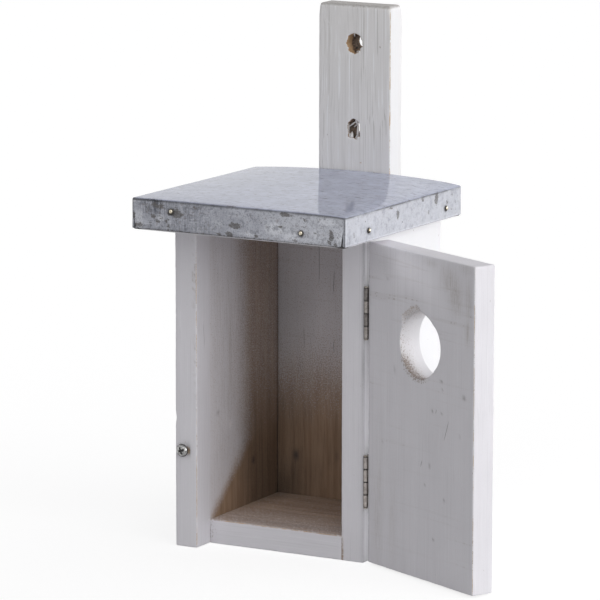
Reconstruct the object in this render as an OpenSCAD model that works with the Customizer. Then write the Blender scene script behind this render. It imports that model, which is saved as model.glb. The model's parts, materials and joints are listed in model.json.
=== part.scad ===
// Wooden nest box with a metal-covered roof, a hanging slat and a front door on two butt hinges.
// X runs along the front, Y towards the back and Z up. The origin is the middle of the body, at its base.

/* [Body] */
// Outside width across both side walls
body_w = 97.5; // [90:0.5:140]
// Depth from the right wall's front edge to the back wall's outer face
body_d = 80.5; // [72:0.5:130]
// Height of the right wall at its front edge
body_h = 160.6; // [150:0.1:220]
// Thickness of the side walls
side_t = 12; // [10:0.5:16]
// Thickness of the back wall
back_t = 12; // [10:0.5:18]
// Thickness of the floor board
floor_t = 12; // [9:0.5:18]

/* [Roof] */
// Overhang in front of the right wall's front edge
roof_front = 40; // [28:0.5:60]
// Overhang past the left wall
roof_left = 7.8; // [4:0.1:20]
// Overhang past the right wall
roof_right = 11; // [6:0.1:20]
// Thickness of the roof board
roof_board_t = 14.8; // [13:0.1:20]
// Fall of the roof towards the back, in degrees
roof_fall = 0.75; // [0:0.05:5]
// Thickness of the metal sheet
sheet_t = 0.6; // [0.4:0.1:1.2]
// Strip of the roof board left bare below the sheet's turned-down edges
board_show = 0.6; // [0:0.1:3]
// Width of the slit at the foot of each folded corner
slit_w = 1.2; // [0.4:0.1:2]
// Height of the slit at the foot of each folded corner
slit_h = 7.5; // [3:0.5:10]

/* [Roof pins] */
// Distances of the front and back pins from the roof's left and right ends
front_pin_inset = [22, 23.5]; // [14:0.5:34]
// Depths of the front pins below the top of the sheet, left and right
front_pin_drop = [5.2, 9.8]; // [4:0.1:11]
// Distances of the side pins from the roof's front and back ends
side_pin_inset = [23.7, 16.6]; // [12:0.1:40]
// Depth of the side and back pins below the top of the sheet
side_pin_drop = 9.7; // [4:0.1:11]
// Diameter of a pin's domed head
roof_pin_head_d = 2.7; // [2:0.1:3.6]
// Diameter of a pin's shank
roof_pin_d = 1.1; // [0.8:0.1:1.6]
// Length of a pin's shank
roof_pin_l = 10; // [6:0.5:11]

/* [Hanging slat] */
// Width of the slat
slat_w = 40; // [30:1:60]
// Thickness of the slat
slat_t = 12; // [9:0.5:18]
// Height of the slat's top above the base
slat_top = 260; // [245:1:320]
// Diameter of each hanging hole
hang_hole_d = 8; // [5:0.5:10]
// Distance of the upper hanging hole from the slat's top
hang_hole_drop = 19.3; // [12:0.1:30]
// Distance between the two hanging holes
hang_hole_pitch = 43.3; // [30:0.1:50]

/* [Door] */
// Thickness of the door
door_t = 12; // [9:0.5:16]
// Gap between the closed door and the edges it shuts against
door_gap = 0.6; // [0.4:0.1:1.2]
// Gap between the closed door's free edge and the left wall
door_side_gap = 2; // [1.8:0.1:5]
// Height of the door's lower edge above the base
door_lift = 1; // [0.5:0.1:4]
// Gap between the door's top and the roof board
door_top_gap = 2.6; // [1.5:0.1:6]
// Angle between the closed door and the door as it stands, in degrees
door_open = 154; // [0:1:170]
// Diameter of the entrance hole
hole_d = 32; // [26:1:40]
// Distance of the hole's centre from the door's hinge edge
hole_inset = 41.25; // [34:0.25:46]
// Distance of the hole's centre below the door's top
hole_drop = 44; // [30:1:80]

/* [Hinges] */
// Length of each hinge
hinge_l = 25; // [20:0.5:36]
// Distance of the upper hinge's middle below the door's top
upper_hinge_drop = 34.9; // [20:0.1:50]
// Distance of the lower hinge's middle above the door's lower edge
lower_hinge_rise = 39.4; // [20:0.1:60]
// Width of a leaf from the pin's axis
leaf_w = 10; // [8.5:0.1:11]
// Thickness of a leaf
leaf_t = 0.8; // [0.6:0.1:1]
// Outside diameter of the knuckles
knuckle_d = 2.4; // [2.2:0.1:2.6]
// Number of knuckles along a hinge
knuckle_count = 4; // [2:2:6]
// Gap between neighbouring knuckles
knuckle_gap = 0.2; // [0.1:0.05:0.4]
// Diameter of a hinge pin
hinge_pin_d = 1.2; // [1:0.1:1.4]
// Gap between a pin and the bore of a knuckle
pin_clearance = 0.05; // [0.02:0.01:0.1]
// Diameter of a leaf screw's head
leaf_screw_head_d = 3.2; // [2.6:0.1:3.6]
// Diameter of a leaf screw's shank
leaf_screw_d = 1.4; // [1.2:0.1:1.8]
// Length of a leaf screw, head included
leaf_screw_l = 9; // [6:0.5:9.5]

/* [Latch screw] */
// Diameter of the screw's head
latch_head_d = 6.4; // [5:0.1:7]
// Height of the screw's head
latch_head_h = 2.2; // [1.6:0.1:3]
// Length of bare shank between the wall and the head
latch_proud = 1.2; // [0.5:0.1:4]
// Diameter of the screw's shank
latch_d = 3.2; // [2.5:0.1:4]
// Length of shank inside the wall
latch_l = 20; // [10:1:30]
// Distance of the screw from the left wall's outer face
latch_inset = 4.45; // [4:0.05:7]
// Height of the screw above the base
latch_z = 48.4; // [40:0.1:110]

/* [Nails and slat screws] */
// Diameter of a nail's head
nail_head_d = 3.2; // [2.4:0.1:4]
// Height of a nail's head above the wall
nail_head_h = 0.4; // [0.2:0.1:0.8]
// Diameter of a nail's shank
nail_d = 1.5; // [1.2:0.1:2]
// Length of a nail's shank
nail_l = 26; // [22:1:32]
// Number of nails in each back corner
back_nail_count = 2; // [2:1:5]
// Distance of the outermost back nails from the floor board and from the top of the walls
back_nail_inset = 30; // [16:1:45]
// Distance of the floor nails and slat screws from the ends of what they hold
nail_end_inset = 18; // [14:1:25]
// Diameter of a slat screw's head
slat_screw_head_d = 6; // [5:0.1:7]
// Diameter of a slat screw's shank
slat_screw_d = 3; // [2.5:0.1:3.5]
// Depth that a slat screw reaches into the back wall
slat_screw_bite = 8; // [5:0.5:9]
// Distance of the slat screws from the slat's edges
slat_screw_inset = 9; // [6:0.5:12]

/* [Hidden] */
$fn = 48;

fit_clearance = 0.05;   // between a screw, nail or pin and the hole it sits in
cut = 1;                // how far a cutting shape runs past the surface it opens

paint = [0.84, 0.84, 0.86];
raw_wood = [0.70, 0.62, 0.54];
zinc = [0.74, 0.76, 0.80];
steel = [0.55, 0.54, 0.52];

// Body planes
right_x = body_w / 2;
left_x = -right_x;
inner_right_x = right_x - side_t;
inner_left_x = left_x + side_t;
front_y = -body_d / 2;
back_y = body_d / 2;
inner_back_y = back_y - back_t;
left_front_y = front_y - door_gap - door_t;

// Roof planes
roof_x0 = left_x - roof_left;
roof_x1 = right_x + roof_right;
roof_y0 = front_y - roof_front;
roof_top = roof_board_t + sheet_t;

// Slat
slat_back_y = back_y + slat_t;
slat_screw_l = slat_t + slat_screw_bite;
slat_screw_head_h = (slat_screw_head_d - slat_screw_d) / 2;
slat_screw_x = slat_w / 2 - slat_screw_inset;
slat_screw_z = [nail_end_inset + floor_t, body_h - nail_end_inset];

// Door, as it stands when closed
door_w = body_w - side_t - door_side_gap;
door_h = body_h - door_lift - door_top_gap;
door_x0 = right_x - door_w;
door_y0 = front_y - door_gap - door_t;
door_top = door_lift + door_h;
hole_x = right_x - hole_inset;
hole_z = door_top - hole_drop;

// Hinges: the pin's axis stands out from the wood by the barrel and a small clearance
knuckle_clearance = 0.15;
knuckle_l = hinge_l / knuckle_count;
axis_out = knuckle_d / 2 + knuckle_clearance;
axis_x = right_x + axis_out;
axis_y = front_y - door_gap / 2;
plate_start = knuckle_d / 2 + 2 * knuckle_clearance;
web_start = 0.5;
upper_hinge_z = door_top - upper_hinge_drop;
lower_hinge_z = door_lift + lower_hinge_rise;
leaf_screw_y = (plate_start + leaf_w) / 2;
leaf_screw_spread = hinge_l * 0.3;
pin_head_d = hinge_pin_d + 0.8;
pin_head_h = 0.5;

// Nails
floor_nail_y = [front_y + nail_end_inset, inner_back_y - nail_end_inset];
back_nail_step = (body_h - 2 * back_nail_inset - floor_t) / (back_nail_count - 1);
back_nail_z = [for (i = [0 : back_nail_count - 1]) floor_t + back_nail_inset + i * back_nail_step];
back_nail_y = back_y - back_t / 2;

// Height of the roof board's underside at depth y
function roof_under(y) = body_h - (y - front_y) * tan(roof_fall);

// Slab between x0 and x1 whose lower and upper faces follow the roof's fall
module falling_slab(x0, x1, y0, y1, low, high) {
    translate([x0, 0, 0])
        rotate([90, 0, 90])
            linear_extrude(x1 - x0)
                polygon([[y0, roof_under(y0) + low], [y1, roof_under(y1) + low],
                         [y1, roof_under(y1) + high], [y0, roof_under(y0) + high]]);
}

// Upright board between x0 and x1 that stands on the base and ends at the roof board
module wall(x0, x1, y0, y1) {
    translate([x0, 0, 0])
        rotate([90, 0, 90])
            linear_extrude(x1 - x0)
                polygon([[y0, 0], [y1, 0], [y1, roof_under(y1)], [y0, roof_under(y0)]]);
}

// Turns a shape that points along +Z to point into the body from the left, right, front or back
module facing(side) {
    turn = side == "left" ? [0, 90, 0] : side == "right" ? [0, -90, 0] : side == "front" ? [-90, 0, 0] : [90, 0, 0];
    rotate(turn) children();
}

// ---- Screws, nails and pins: each points along +Z, with the surface it enters at z = 0 ----

module cross_recess(size, depth, width) {
    for (turn = [0, 90])
        rotate([0, 0, turn])
            translate([-size / 2, -width / 2, -cut])
                cube([size, width, depth + cut]);
}

// Domed cap of the given diameter and height that stands on z = 0 and rises towards -Z
module dome(d, h) {
    sphere_r = (d * d / 4 + h * h) / (2 * h);
    intersection() {
        translate([0, 0, sphere_r - h]) sphere(r = sphere_r);
        translate([0, 0, -h - cut]) cylinder(d = d * 2, h = h + cut);
    }
}

module countersunk_screw(head_d, shank_d, length) {
    head_h = (head_d - shank_d) / 2;
    difference() {
        union() {
            cylinder(d1 = head_d, d2 = shank_d, h = head_h);
            cylinder(d = shank_d, h = length);
        }
        cross_recess(head_d * 0.6, head_h * 0.5, head_d * 0.16);
    }
}

module countersunk_hole(head_d, shank_d, length) {
    head_h = (head_d - shank_d) / 2;
    grow = 2 * fit_clearance;
    cylinder(d1 = head_d + grow, d2 = shank_d + grow, h = head_h);
    translate([0, 0, -cut]) cylinder(d = head_d + grow, h = cut);
    translate([0, 0, -cut]) cylinder(d = shank_d + grow, h = length + cut + fit_clearance);
}

module nail() {
    translate([0, 0, -nail_head_h]) cylinder(d = nail_head_d, h = nail_head_h);
    translate([0, 0, -nail_head_h]) cylinder(d = nail_d, h = nail_l + nail_head_h);
}

module nail_hole() {
    translate([0, 0, -cut]) cylinder(d = nail_d + 2 * fit_clearance, h = nail_l + cut + fit_clearance);
}

module roof_pin() {
    dome(roof_pin_head_d, roof_pin_head_d * 0.4);
    translate([0, 0, -fit_clearance]) cylinder(d = roof_pin_d, h = roof_pin_l + fit_clearance);
}

module roof_pin_hole() {
    translate([0, 0, -cut]) cylinder(d = roof_pin_d + 2 * fit_clearance, h = roof_pin_l + cut + fit_clearance);
}

// ---- Places of the repeated fastenings ----

// Each child lands on the roof edge that faces the given side, pointing inwards
module at_roof_pins(side) {
    if (side == "front" || side == "back") {
        y = side == "front" ? roof_y0 : back_y;
        xs = [roof_x0 + front_pin_inset[0], roof_x1 - front_pin_inset[1]];
        drops = side == "front" ? front_pin_drop : [side_pin_drop, side_pin_drop];
        for (i = [0, 1])
            translate([xs[i], y, roof_under(y) + roof_top - drops[i]])
                facing(side) children();
    } else {
        x = side == "left" ? roof_x0 : roof_x1;
        for (y = [roof_y0 + side_pin_inset[0], back_y - side_pin_inset[1]])
            translate([x, y, roof_under(y) + roof_top - side_pin_drop])
                facing(side) children();
    }
}

module at_all_roof_pins() {
    for (side = ["front", "back", "left", "right"])
        at_roof_pins(side) children();
}

module at_wall_nails(side) {
    x = side == "left" ? left_x : right_x;
    for (y = floor_nail_y)
        translate([x, y, floor_t / 2]) facing(side) children();
    for (z = back_nail_z)
        translate([x, back_nail_y, z]) facing(side) children();
}

module at_slat_screws() {
    for (x = [-slat_screw_x, slat_screw_x], z = slat_screw_z)
        translate([x, slat_back_y, z]) facing("back") children();
}

module at_latch_screw() {
    translate([left_x + latch_inset, left_front_y, latch_z]) facing("front") children();
}

// ---- Hinge pieces: the pin's axis is the Z axis, and the wood is at x = -axis_out ----

// Leaf that lies on the wood towards +Y; its knuckles are numbered from the bottom, from first on
module hinge_leaf(first) {
    difference() {
        union() {
            translate([-axis_out, plate_start, -hinge_l / 2])
                cube([leaf_t, leaf_w - plate_start, hinge_l]);
            for (i = [first : 2 : knuckle_count - 1]) {
                z0 = -hinge_l / 2 + i * knuckle_l + knuckle_gap / 2;
                translate([0, 0, z0]) cylinder(d = knuckle_d, h = knuckle_l - knuckle_gap);
                translate([-axis_out, web_start, z0])
                    cube([leaf_t, plate_start - web_start + fit_clearance, knuckle_l - knuckle_gap]);
            }
        }
        translate([0, 0, -hinge_l / 2 - cut])
            cylinder(d = hinge_pin_d + 2 * pin_clearance, h = hinge_l + 2 * cut);
        at_leaf_screws() countersunk_hole(leaf_screw_head_d, leaf_screw_d, leaf_screw_l);
    }
}

module at_leaf_screws() {
    for (z = [-leaf_screw_spread, leaf_screw_spread])
        translate([-axis_out + leaf_t, leaf_screw_y, z]) facing("right") children();
}

module hinge_pin() {
    cylinder(d = hinge_pin_d, h = hinge_l + 2 * pin_clearance, center = true);
    for (end = [-1, 1])
        translate([0, 0, end * (hinge_l / 2 + pin_clearance + pin_head_h / 2)])
            cylinder(d = pin_head_d, h = pin_head_h, center = true);
}

// Places a hinge piece of the frame side
module on_frame_hinge(z) {
    translate([axis_x, axis_y, z]) children();
}

// Places a hinge piece of the door side, drawn on a frame leaf's pattern, for the closed door
module on_door_hinge(z) {
    translate([axis_x, axis_y, z]) mirror([0, 1, 0]) children();
}

// Swings the closed door to where it stands
module swung() {
    translate([axis_x, axis_y, 0])
        rotate([0, 0, door_open])
            translate([-axis_x, -axis_y, 0])
                children();
}

// ---- Sub-parts ----

module left_wall() {
    color(paint)
        difference() {
            wall(left_x, inner_left_x, left_front_y, back_y);
            at_wall_nails("left") nail_hole();
            at_latch_screw()
                translate([0, 0, -cut])
                    cylinder(d = latch_d + 2 * fit_clearance, h = latch_l + cut + fit_clearance);
        }
}

module right_wall() {
    color(paint)
        difference() {
            wall(inner_right_x, right_x, front_y, back_y);
            at_wall_nails("right") nail_hole();
            for (z = [upper_hinge_z, lower_hinge_z])
                on_frame_hinge(z) at_leaf_screws() countersunk_hole(leaf_screw_head_d, leaf_screw_d, leaf_screw_l);
        }
}

module back_wall() {
    color(paint)
        difference() {
            wall(inner_left_x, inner_right_x, inner_back_y, back_y);
            for (side = ["left", "right"])
                at_wall_nails(side) nail_hole();
            at_slat_screws() countersunk_hole(slat_screw_head_d, slat_screw_d, slat_screw_l);
        }
}

module floor_board() {
    color(raw_wood)
        difference() {
            translate([inner_left_x, front_y, 0])
                cube([inner_right_x - inner_left_x, inner_back_y - front_y, floor_t]);
            for (side = ["left", "right"])
                at_wall_nails(side) nail_hole();
        }
}

module roof_board() {
    color(paint)
        difference() {
            falling_slab(roof_x0 + sheet_t, roof_x1 - sheet_t, roof_y0 + sheet_t, back_y - sheet_t, 0, roof_board_t);
            at_all_roof_pins() roof_pin_hole();
        }
}

module roof_sheet() {
    color(zinc)
        difference() {
            falling_slab(roof_x0, roof_x1, roof_y0, back_y, board_show, roof_top);
            falling_slab(roof_x0 + sheet_t, roof_x1 - sheet_t, roof_y0 + sheet_t, back_y - sheet_t,
                         board_show - cut, roof_board_t);
            for (x = [roof_x0 + 2 * sheet_t, roof_x1 - 2 * sheet_t], y = [roof_y0, back_y])
                corner_slit(x, y);
            at_all_roof_pins() roof_pin_hole();
        }
}

// Slit that opens downwards in the front or back edge of the sheet, beside the corner at x
module corner_slit(x, y) {
    foot = roof_under(y) + board_show;
    inwards = x < 0 ? 1 : -1;
    translate([x, y + sheet_t / 2, foot])
        rotate([90, 0, 0])
            linear_extrude(2 * sheet_t, center = true)
                polygon([[0, -cut], [inwards * slit_w, -cut], [0, slit_h]]);
}

module hanging_slat() {
    color(paint)
        difference() {
            translate([-slat_w / 2, back_y, 0]) cube([slat_w, slat_t, slat_top]);
            for (i = [0, 1])
                translate([0, back_y - cut, slat_top - hang_hole_drop - i * hang_hole_pitch])
                    rotate([-90, 0, 0])
                        cylinder(d = hang_hole_d, h = slat_t + 2 * cut);
            at_slat_screws() countersunk_hole(slat_screw_head_d, slat_screw_d, slat_screw_l);
        }
}

module slat_screws() {
    color(steel) at_slat_screws() countersunk_screw(slat_screw_head_d, slat_screw_d, slat_screw_l);
}

module wall_nails(side) {
    color(steel) at_wall_nails(side) nail();
}

module roof_pins(side) {
    color(steel) at_roof_pins(side) roof_pin();
}

module latch_screw() {
    color(steel)
        at_latch_screw()
            translate([0, 0, -latch_proud]) {
                difference() {
                    dome(latch_head_d, latch_head_h);
                    translate([0, 0, -latch_head_h])
                        cross_recess(latch_head_d * 0.5, latch_head_h * 0.55, latch_head_d * 0.13);
                }
                translate([0, 0, -fit_clearance])
                    cylinder(d = latch_d, h = latch_l + latch_proud + fit_clearance);
            }
}

module frame_leaf(z) {
    color(steel) on_frame_hinge(z) hinge_leaf(0);
}

module frame_screws(z) {
    color(steel)
        on_frame_hinge(z)
            at_leaf_screws() countersunk_screw(leaf_screw_head_d, leaf_screw_d, leaf_screw_l);
}

module pin(z) {
    color(steel) on_frame_hinge(z) hinge_pin();
}

module door_leaf(z) {
    color(steel) swung() on_door_hinge(z) hinge_leaf(1);
}

module door_screws(z) {
    color(steel)
        swung() on_door_hinge(z)
            at_leaf_screws() countersunk_screw(leaf_screw_head_d, leaf_screw_d, leaf_screw_l);
}

module door_panel() {
    color(paint)
        swung()
            difference() {
                translate([door_x0, door_y0, door_lift]) cube([door_w, door_t, door_h]);
                translate([hole_x, door_y0 - cut, hole_z])
                    rotate([-90, 0, 0])
                        cylinder(d = hole_d, h = door_t + 2 * cut, $fn = 96);
                for (z = [upper_hinge_z, lower_hinge_z])
                    on_door_hinge(z)
                        at_leaf_screws() countersunk_hole(leaf_screw_head_d, leaf_screw_d, leaf_screw_l);
            }
}

left_wall();
right_wall();
back_wall();
floor_board();
roof_board();
roof_sheet();
roof_pins("front");  // roof_pins_front
roof_pins("back");  // roof_pins_back
roof_pins("left");  // roof_pins_left
roof_pins("right");  // roof_pins_right
hanging_slat();
slat_screws();
wall_nails("left");  // left_wall_nails
wall_nails("right");  // right_wall_nails
latch_screw();
frame_leaf(upper_hinge_z);  // upper_hinge_frame_leaf
frame_screws(upper_hinge_z);  // upper_hinge_frame_screws
pin(upper_hinge_z);  // upper_hinge_pin
frame_leaf(lower_hinge_z);  // lower_hinge_frame_leaf
frame_screws(lower_hinge_z);  // lower_hinge_frame_screws
pin(lower_hinge_z);  // lower_hinge_pin
door_panel();
door_leaf(upper_hinge_z);  // upper_hinge_door_leaf
door_screws(upper_hinge_z);  // upper_hinge_door_screws
door_leaf(lower_hinge_z);  // lower_hinge_door_leaf
door_screws(lower_hinge_z);  // lower_hinge_door_screws
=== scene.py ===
# A small wooden nest box with a zinc-covered roof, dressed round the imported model.
# Lengths are worked out in millimetres and become metres when a piece is made.
import bmesh
import bpy
import json
import math
import numpy as np
from mathutils import Matrix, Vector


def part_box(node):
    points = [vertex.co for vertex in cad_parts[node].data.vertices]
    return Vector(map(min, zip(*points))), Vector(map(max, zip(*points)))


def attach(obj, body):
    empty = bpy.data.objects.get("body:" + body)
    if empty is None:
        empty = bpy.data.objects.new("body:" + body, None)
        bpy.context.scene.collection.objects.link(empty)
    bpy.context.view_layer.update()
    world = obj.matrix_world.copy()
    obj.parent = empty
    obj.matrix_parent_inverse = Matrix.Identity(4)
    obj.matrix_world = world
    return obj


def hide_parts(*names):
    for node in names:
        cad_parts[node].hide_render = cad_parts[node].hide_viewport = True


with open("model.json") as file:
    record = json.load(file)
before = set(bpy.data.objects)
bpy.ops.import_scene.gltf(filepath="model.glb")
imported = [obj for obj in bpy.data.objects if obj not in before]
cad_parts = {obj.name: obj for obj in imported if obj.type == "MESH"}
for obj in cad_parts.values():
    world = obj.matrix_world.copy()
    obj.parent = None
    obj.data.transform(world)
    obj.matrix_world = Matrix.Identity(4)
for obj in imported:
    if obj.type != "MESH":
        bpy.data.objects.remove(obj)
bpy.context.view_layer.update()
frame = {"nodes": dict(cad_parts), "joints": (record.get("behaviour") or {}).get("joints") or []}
print("frame loaded")

perMetre = 1000.0
touching = 1e-4     # places closer than this are the same place


def boxOf(nodeName):
    # Lowest and highest corner of a node of the model, in millimetres
    low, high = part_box(nodeName)
    return np.array(low) * perMetre, np.array(high) * perMetre


leftLow, leftHigh = boxOf("left_wall")
rightLow, rightHigh = boxOf("right_wall")
backLow, backHigh = boxOf("back_wall")
floorLow, floorHigh = boxOf("floor_board")
boardLow, boardHigh = boxOf("roof_board")
sheetLow, sheetHigh = boxOf("roof_sheet")
slatLow, slatHigh = boxOf("hanging_slat")
doorLow, doorHigh = boxOf("door_panel")
latchLow, latchHigh = boxOf("latch_screw")

roofFall = math.tan(math.radians(0.75))     # the roof drops this much for each step towards the back


def roofUnder(y):
    # Height of the roof board's underside: a straight fall towards its back edge
    return boardLow[2] + (boardHigh[1] - y) * roofFall


def latticeNoise(points, size, seed):
    # Every corner of a lattice with cells of the given size has a fixed random value from -1 to 1, made by
    # multiplying and mixing the digits of its place. A point blends the eight corners round it by
    # 3t^2 - 2t^3 along each axis.
    scaled = points / np.asarray(size, float)
    cell = np.floor(scaled)
    part = scaled - cell
    part = part * part * (3 - 2 * part)
    cell = cell.astype(np.int64)
    total = np.zeros(len(points))
    for corner in range(8):
        step = np.array([corner & 1, corner >> 1 & 1, corner >> 2 & 1])
        at = cell + step
        mixed = (at[:, 0] * 73856093) ^ (at[:, 1] * 19349663) ^ (at[:, 2] * 83492791) ^ (seed * 2654435761)
        mixed = (mixed & 0xffffffff) * 1274126177 & 0xffffffffffff
        mixed = (mixed ^ (mixed >> 19)) & 0xffffffff
        mixed = mixed * 1103515245 >> 9 & 0xffffff
        total += np.prod(np.where(step, part, 1 - part), axis=1) * (mixed / 0x7fffff - 1)
    return total


def layeredNoise(points, size, seed, layers=3):
    # A sum of lattice noises, each with half the cell and half the strength of the one before, over 1.6,
    # which brings nearly all of it back to between -1 and 1
    total = np.zeros(len(points))
    for layer in range(layers):
        total += latticeNoise(points, np.asarray(size, float) / 2 ** layer, seed + layer) / 2 ** layer
    return total / 1.6


def ease(value, start, end):
    # 0 up to the start, 1 from the end on, and 3t^2 - 2t^3 between them. The end may be the smaller one.
    part = np.clip((value - start) / (end - start), 0, 1)
    return part * part * (3 - 2 * part)


def bell(away, width):
    # 1 at no distance, and e to the power of minus the square of distance over width further out
    return np.exp(-(away / width) ** 2)


def bellMarks(marks, across, up):
    # One array for each mark (place across, place up, half width, half height, strength): the strength
    # times a bell along each of the two coordinates
    return [
        strength * bell(across - place, wide) * bell(up - rise, tall)
        for place, rise, wide, tall, strength in marks]


def onFace(depth):
    # 1 within 0.4 mm of a board's face, and 0 from 0.9 mm in the wood on
    return ease(depth, 0.9, 0.4)


def strongest(*layers):
    # The largest of several amounts at each point
    return np.maximum.reduce(layers)


def cellsOf(shape, loop=None):
    # Numbers of the four corners of each cell of a grid of points. Along the looped axis the last points
    # join the first ones.
    at = np.arange(shape[0] * shape[1]).reshape(shape)
    if loop is not None:
        at = np.concatenate([at, at.take([0], axis=loop)], axis=loop)
    return np.stack([at[:-1, :-1], at[1:, :-1], at[1:, 1:], at[:-1, 1:]], -1)


def joined(parts):
    # Several pairs of points and cells as one pair, with the cells of each part counted on from the last
    counts = np.cumsum([0] + [points[..., 0].size for points, cells in parts])
    cells = [cells.reshape(-1, 4) + count for (points, cells), count in zip(parts, counts)]
    return np.concatenate([points.reshape(-1, 3) for points, cells in parts]), np.concatenate(cells)


def makeMesh(name, points, quads, attributes, weld=False):
    # Puts arrays of points, in millimetres, and quads into a mesh, with one attribute for each named array.
    # Welding joins points closer than 0.002 mm and drops the edges that this leaves without length.
    mesh = bpy.data.meshes.new(name)
    mesh.from_pydata((points / perMetre).tolist(), [], quads.tolist())
    for key, values in attributes.items():
        if values.ndim == 2:
            layer = mesh.attributes.new(key, "FLOAT_VECTOR", "POINT")
            layer.data.foreach_set("vector", values.astype(np.float32).ravel())
        else:
            layer = mesh.attributes.new(key, "FLOAT", "POINT")
            layer.data.foreach_set("value", values.astype(np.float32))
    if weld:
        work = bmesh.new()
        work.from_mesh(mesh)
        bmesh.ops.remove_doubles(work, verts=work.verts, dist=2e-6)
        bmesh.ops.dissolve_degenerate(work, edges=work.edges, dist=1e-7)
        work.to_mesh(mesh)
        work.free()
    mesh.polygons.foreach_set("use_smooth", np.ones(len(mesh.polygons), bool))
    mesh.update()
    return mesh


def placed(name, data):
    # A new object in the scene, at the origin, made of a mesh, a lamp or a camera
    thing = bpy.data.objects.new(name, data)
    bpy.context.scene.collection.objects.link(thing)
    return thing


def addPiece(name, mesh, material, body, replaced):
    # A piece rides a body, has a slot for its material and stands in for a node
    piece = placed(name, mesh)
    mesh.materials.append(material)
    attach(piece, body)
    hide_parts(replaced)
    print(name, len(mesh.polygons), "faces")
    return piece


def evenStops(start, end, longest):
    # Even steps from start to end, as few as keep each one within the longest
    return np.linspace(start, end, math.ceil((end - start) / longest) + 1)


def edgeStops(low, high, look, runs):
    # Coordinates along one side of a board: close together in the rounded arris at both ends,
    # and in even steps between the ends of the given runs, each with its own step
    corner = look["arris"] * np.array([0, 0.3, 0.62, 1])
    ends = [low + look["arris"], high - look["arris"]] + [end for run in runs for end in run[:2]]
    ends = np.unique(np.round(ends, 6))
    stops = [low + corner, high - corner]
    for start, end in zip(ends, ends[1:]):
        middle = (start + end) / 2
        step = min([look["cell"]] + [run[2] for run in runs if run[0] < middle < run[1]])
        stops.append(evenStops(start, end, step))
    return np.unique(np.round(np.concatenate(stops), 6))


def boxSide(stops, axis, high):
    # One side of a box as a grid of points and quads that face outwards
    first = (axis + 1) % 3
    second = (axis + 2) % 3
    grid = np.empty((len(stops[first]), len(stops[second]), 3))
    grid[..., first] = stops[first][:, None]
    grid[..., second] = stops[second]
    grid[..., axis] = stops[axis][-1 if high else 0]
    quads = cellsOf(grid.shape[:2]).reshape(-1, 4)
    return grid, quads if high else quads[:, ::-1]


def squareTunnel(stops, hole, through):
    # Wall of a square opening as a closed loop of columns that runs through the board, facing its middle
    first = (through + 1) % 3
    second = (through + 2) % 3
    a = stops[first][np.abs(stops[first] - hole["centre"][first]) < hole["half"] + touching]
    b = stops[second][np.abs(stops[second] - hole["centre"][second]) < hole["half"] + touching]
    loopA = np.concatenate([a[:-1], np.full(len(b) - 1, a[-1]), a[:0:-1], np.full(len(b) - 1, a[0])])
    loopB = np.concatenate([np.full(len(a) - 1, b[0]), b[:-1], np.full(len(a) - 1, b[-1]), b[:0:-1]])
    grid = np.empty((len(loopA), len(stops[through]), 3))
    grid[..., first] = loopA[:, None]
    grid[..., second] = loopB[:, None]
    grid[..., through] = stops[through]
    return grid, cellsOf(grid.shape[:2], loop=0)[..., [0, 3, 2, 1]]


def boardGrid(low, high, look, holes, through):
    # Six grids joined along their edges, with a square opening and a tunnel for each hole. Points at the
    # same place become one.
    across = [(through + 1) % 3, (through + 2) % 3]
    runs = [[], [], []]
    for hole in holes:
        for axis in across:
            middle = hole["centre"][axis]
            runs[axis].append((middle - hole["half"], middle + hole["half"], hole["cell"]))
            runs[axis].append((middle - hole["reach"], middle + hole["reach"], look["cell"]))
    stops = [edgeStops(low[axis], high[axis], look, runs[axis]) for axis in range(3)]
    parts = []
    for axis in range(3):
        for top in (False, True):
            grid, faces = boxSide(stops, axis, top)
            if axis == through:
                for hole in holes:
                    middles = grid.reshape(-1, 3)[faces].mean(axis=1)
                    faces = faces[np.abs(middles - hole["centre"])[:, across].max(axis=1) >= hole["half"]]
            parts.append((grid, faces))
    points, quads = joined(parts + [squareTunnel(stops, hole, through) for hole in holes])
    firsts, places = np.unique(np.round(points, 4), axis=0, return_index=True, return_inverse=True)[1:]
    quads = places.reshape(-1)[quads]
    used = np.unique(quads)
    return points[firsts][used], np.searchsorted(used, quads)


boardLayers = (
    "plank", "wear", "coat", "grime", "knot", "soilAndShade", "sawn", "freshAndLit", "specks", "crackSide", "crackDepth")


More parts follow.
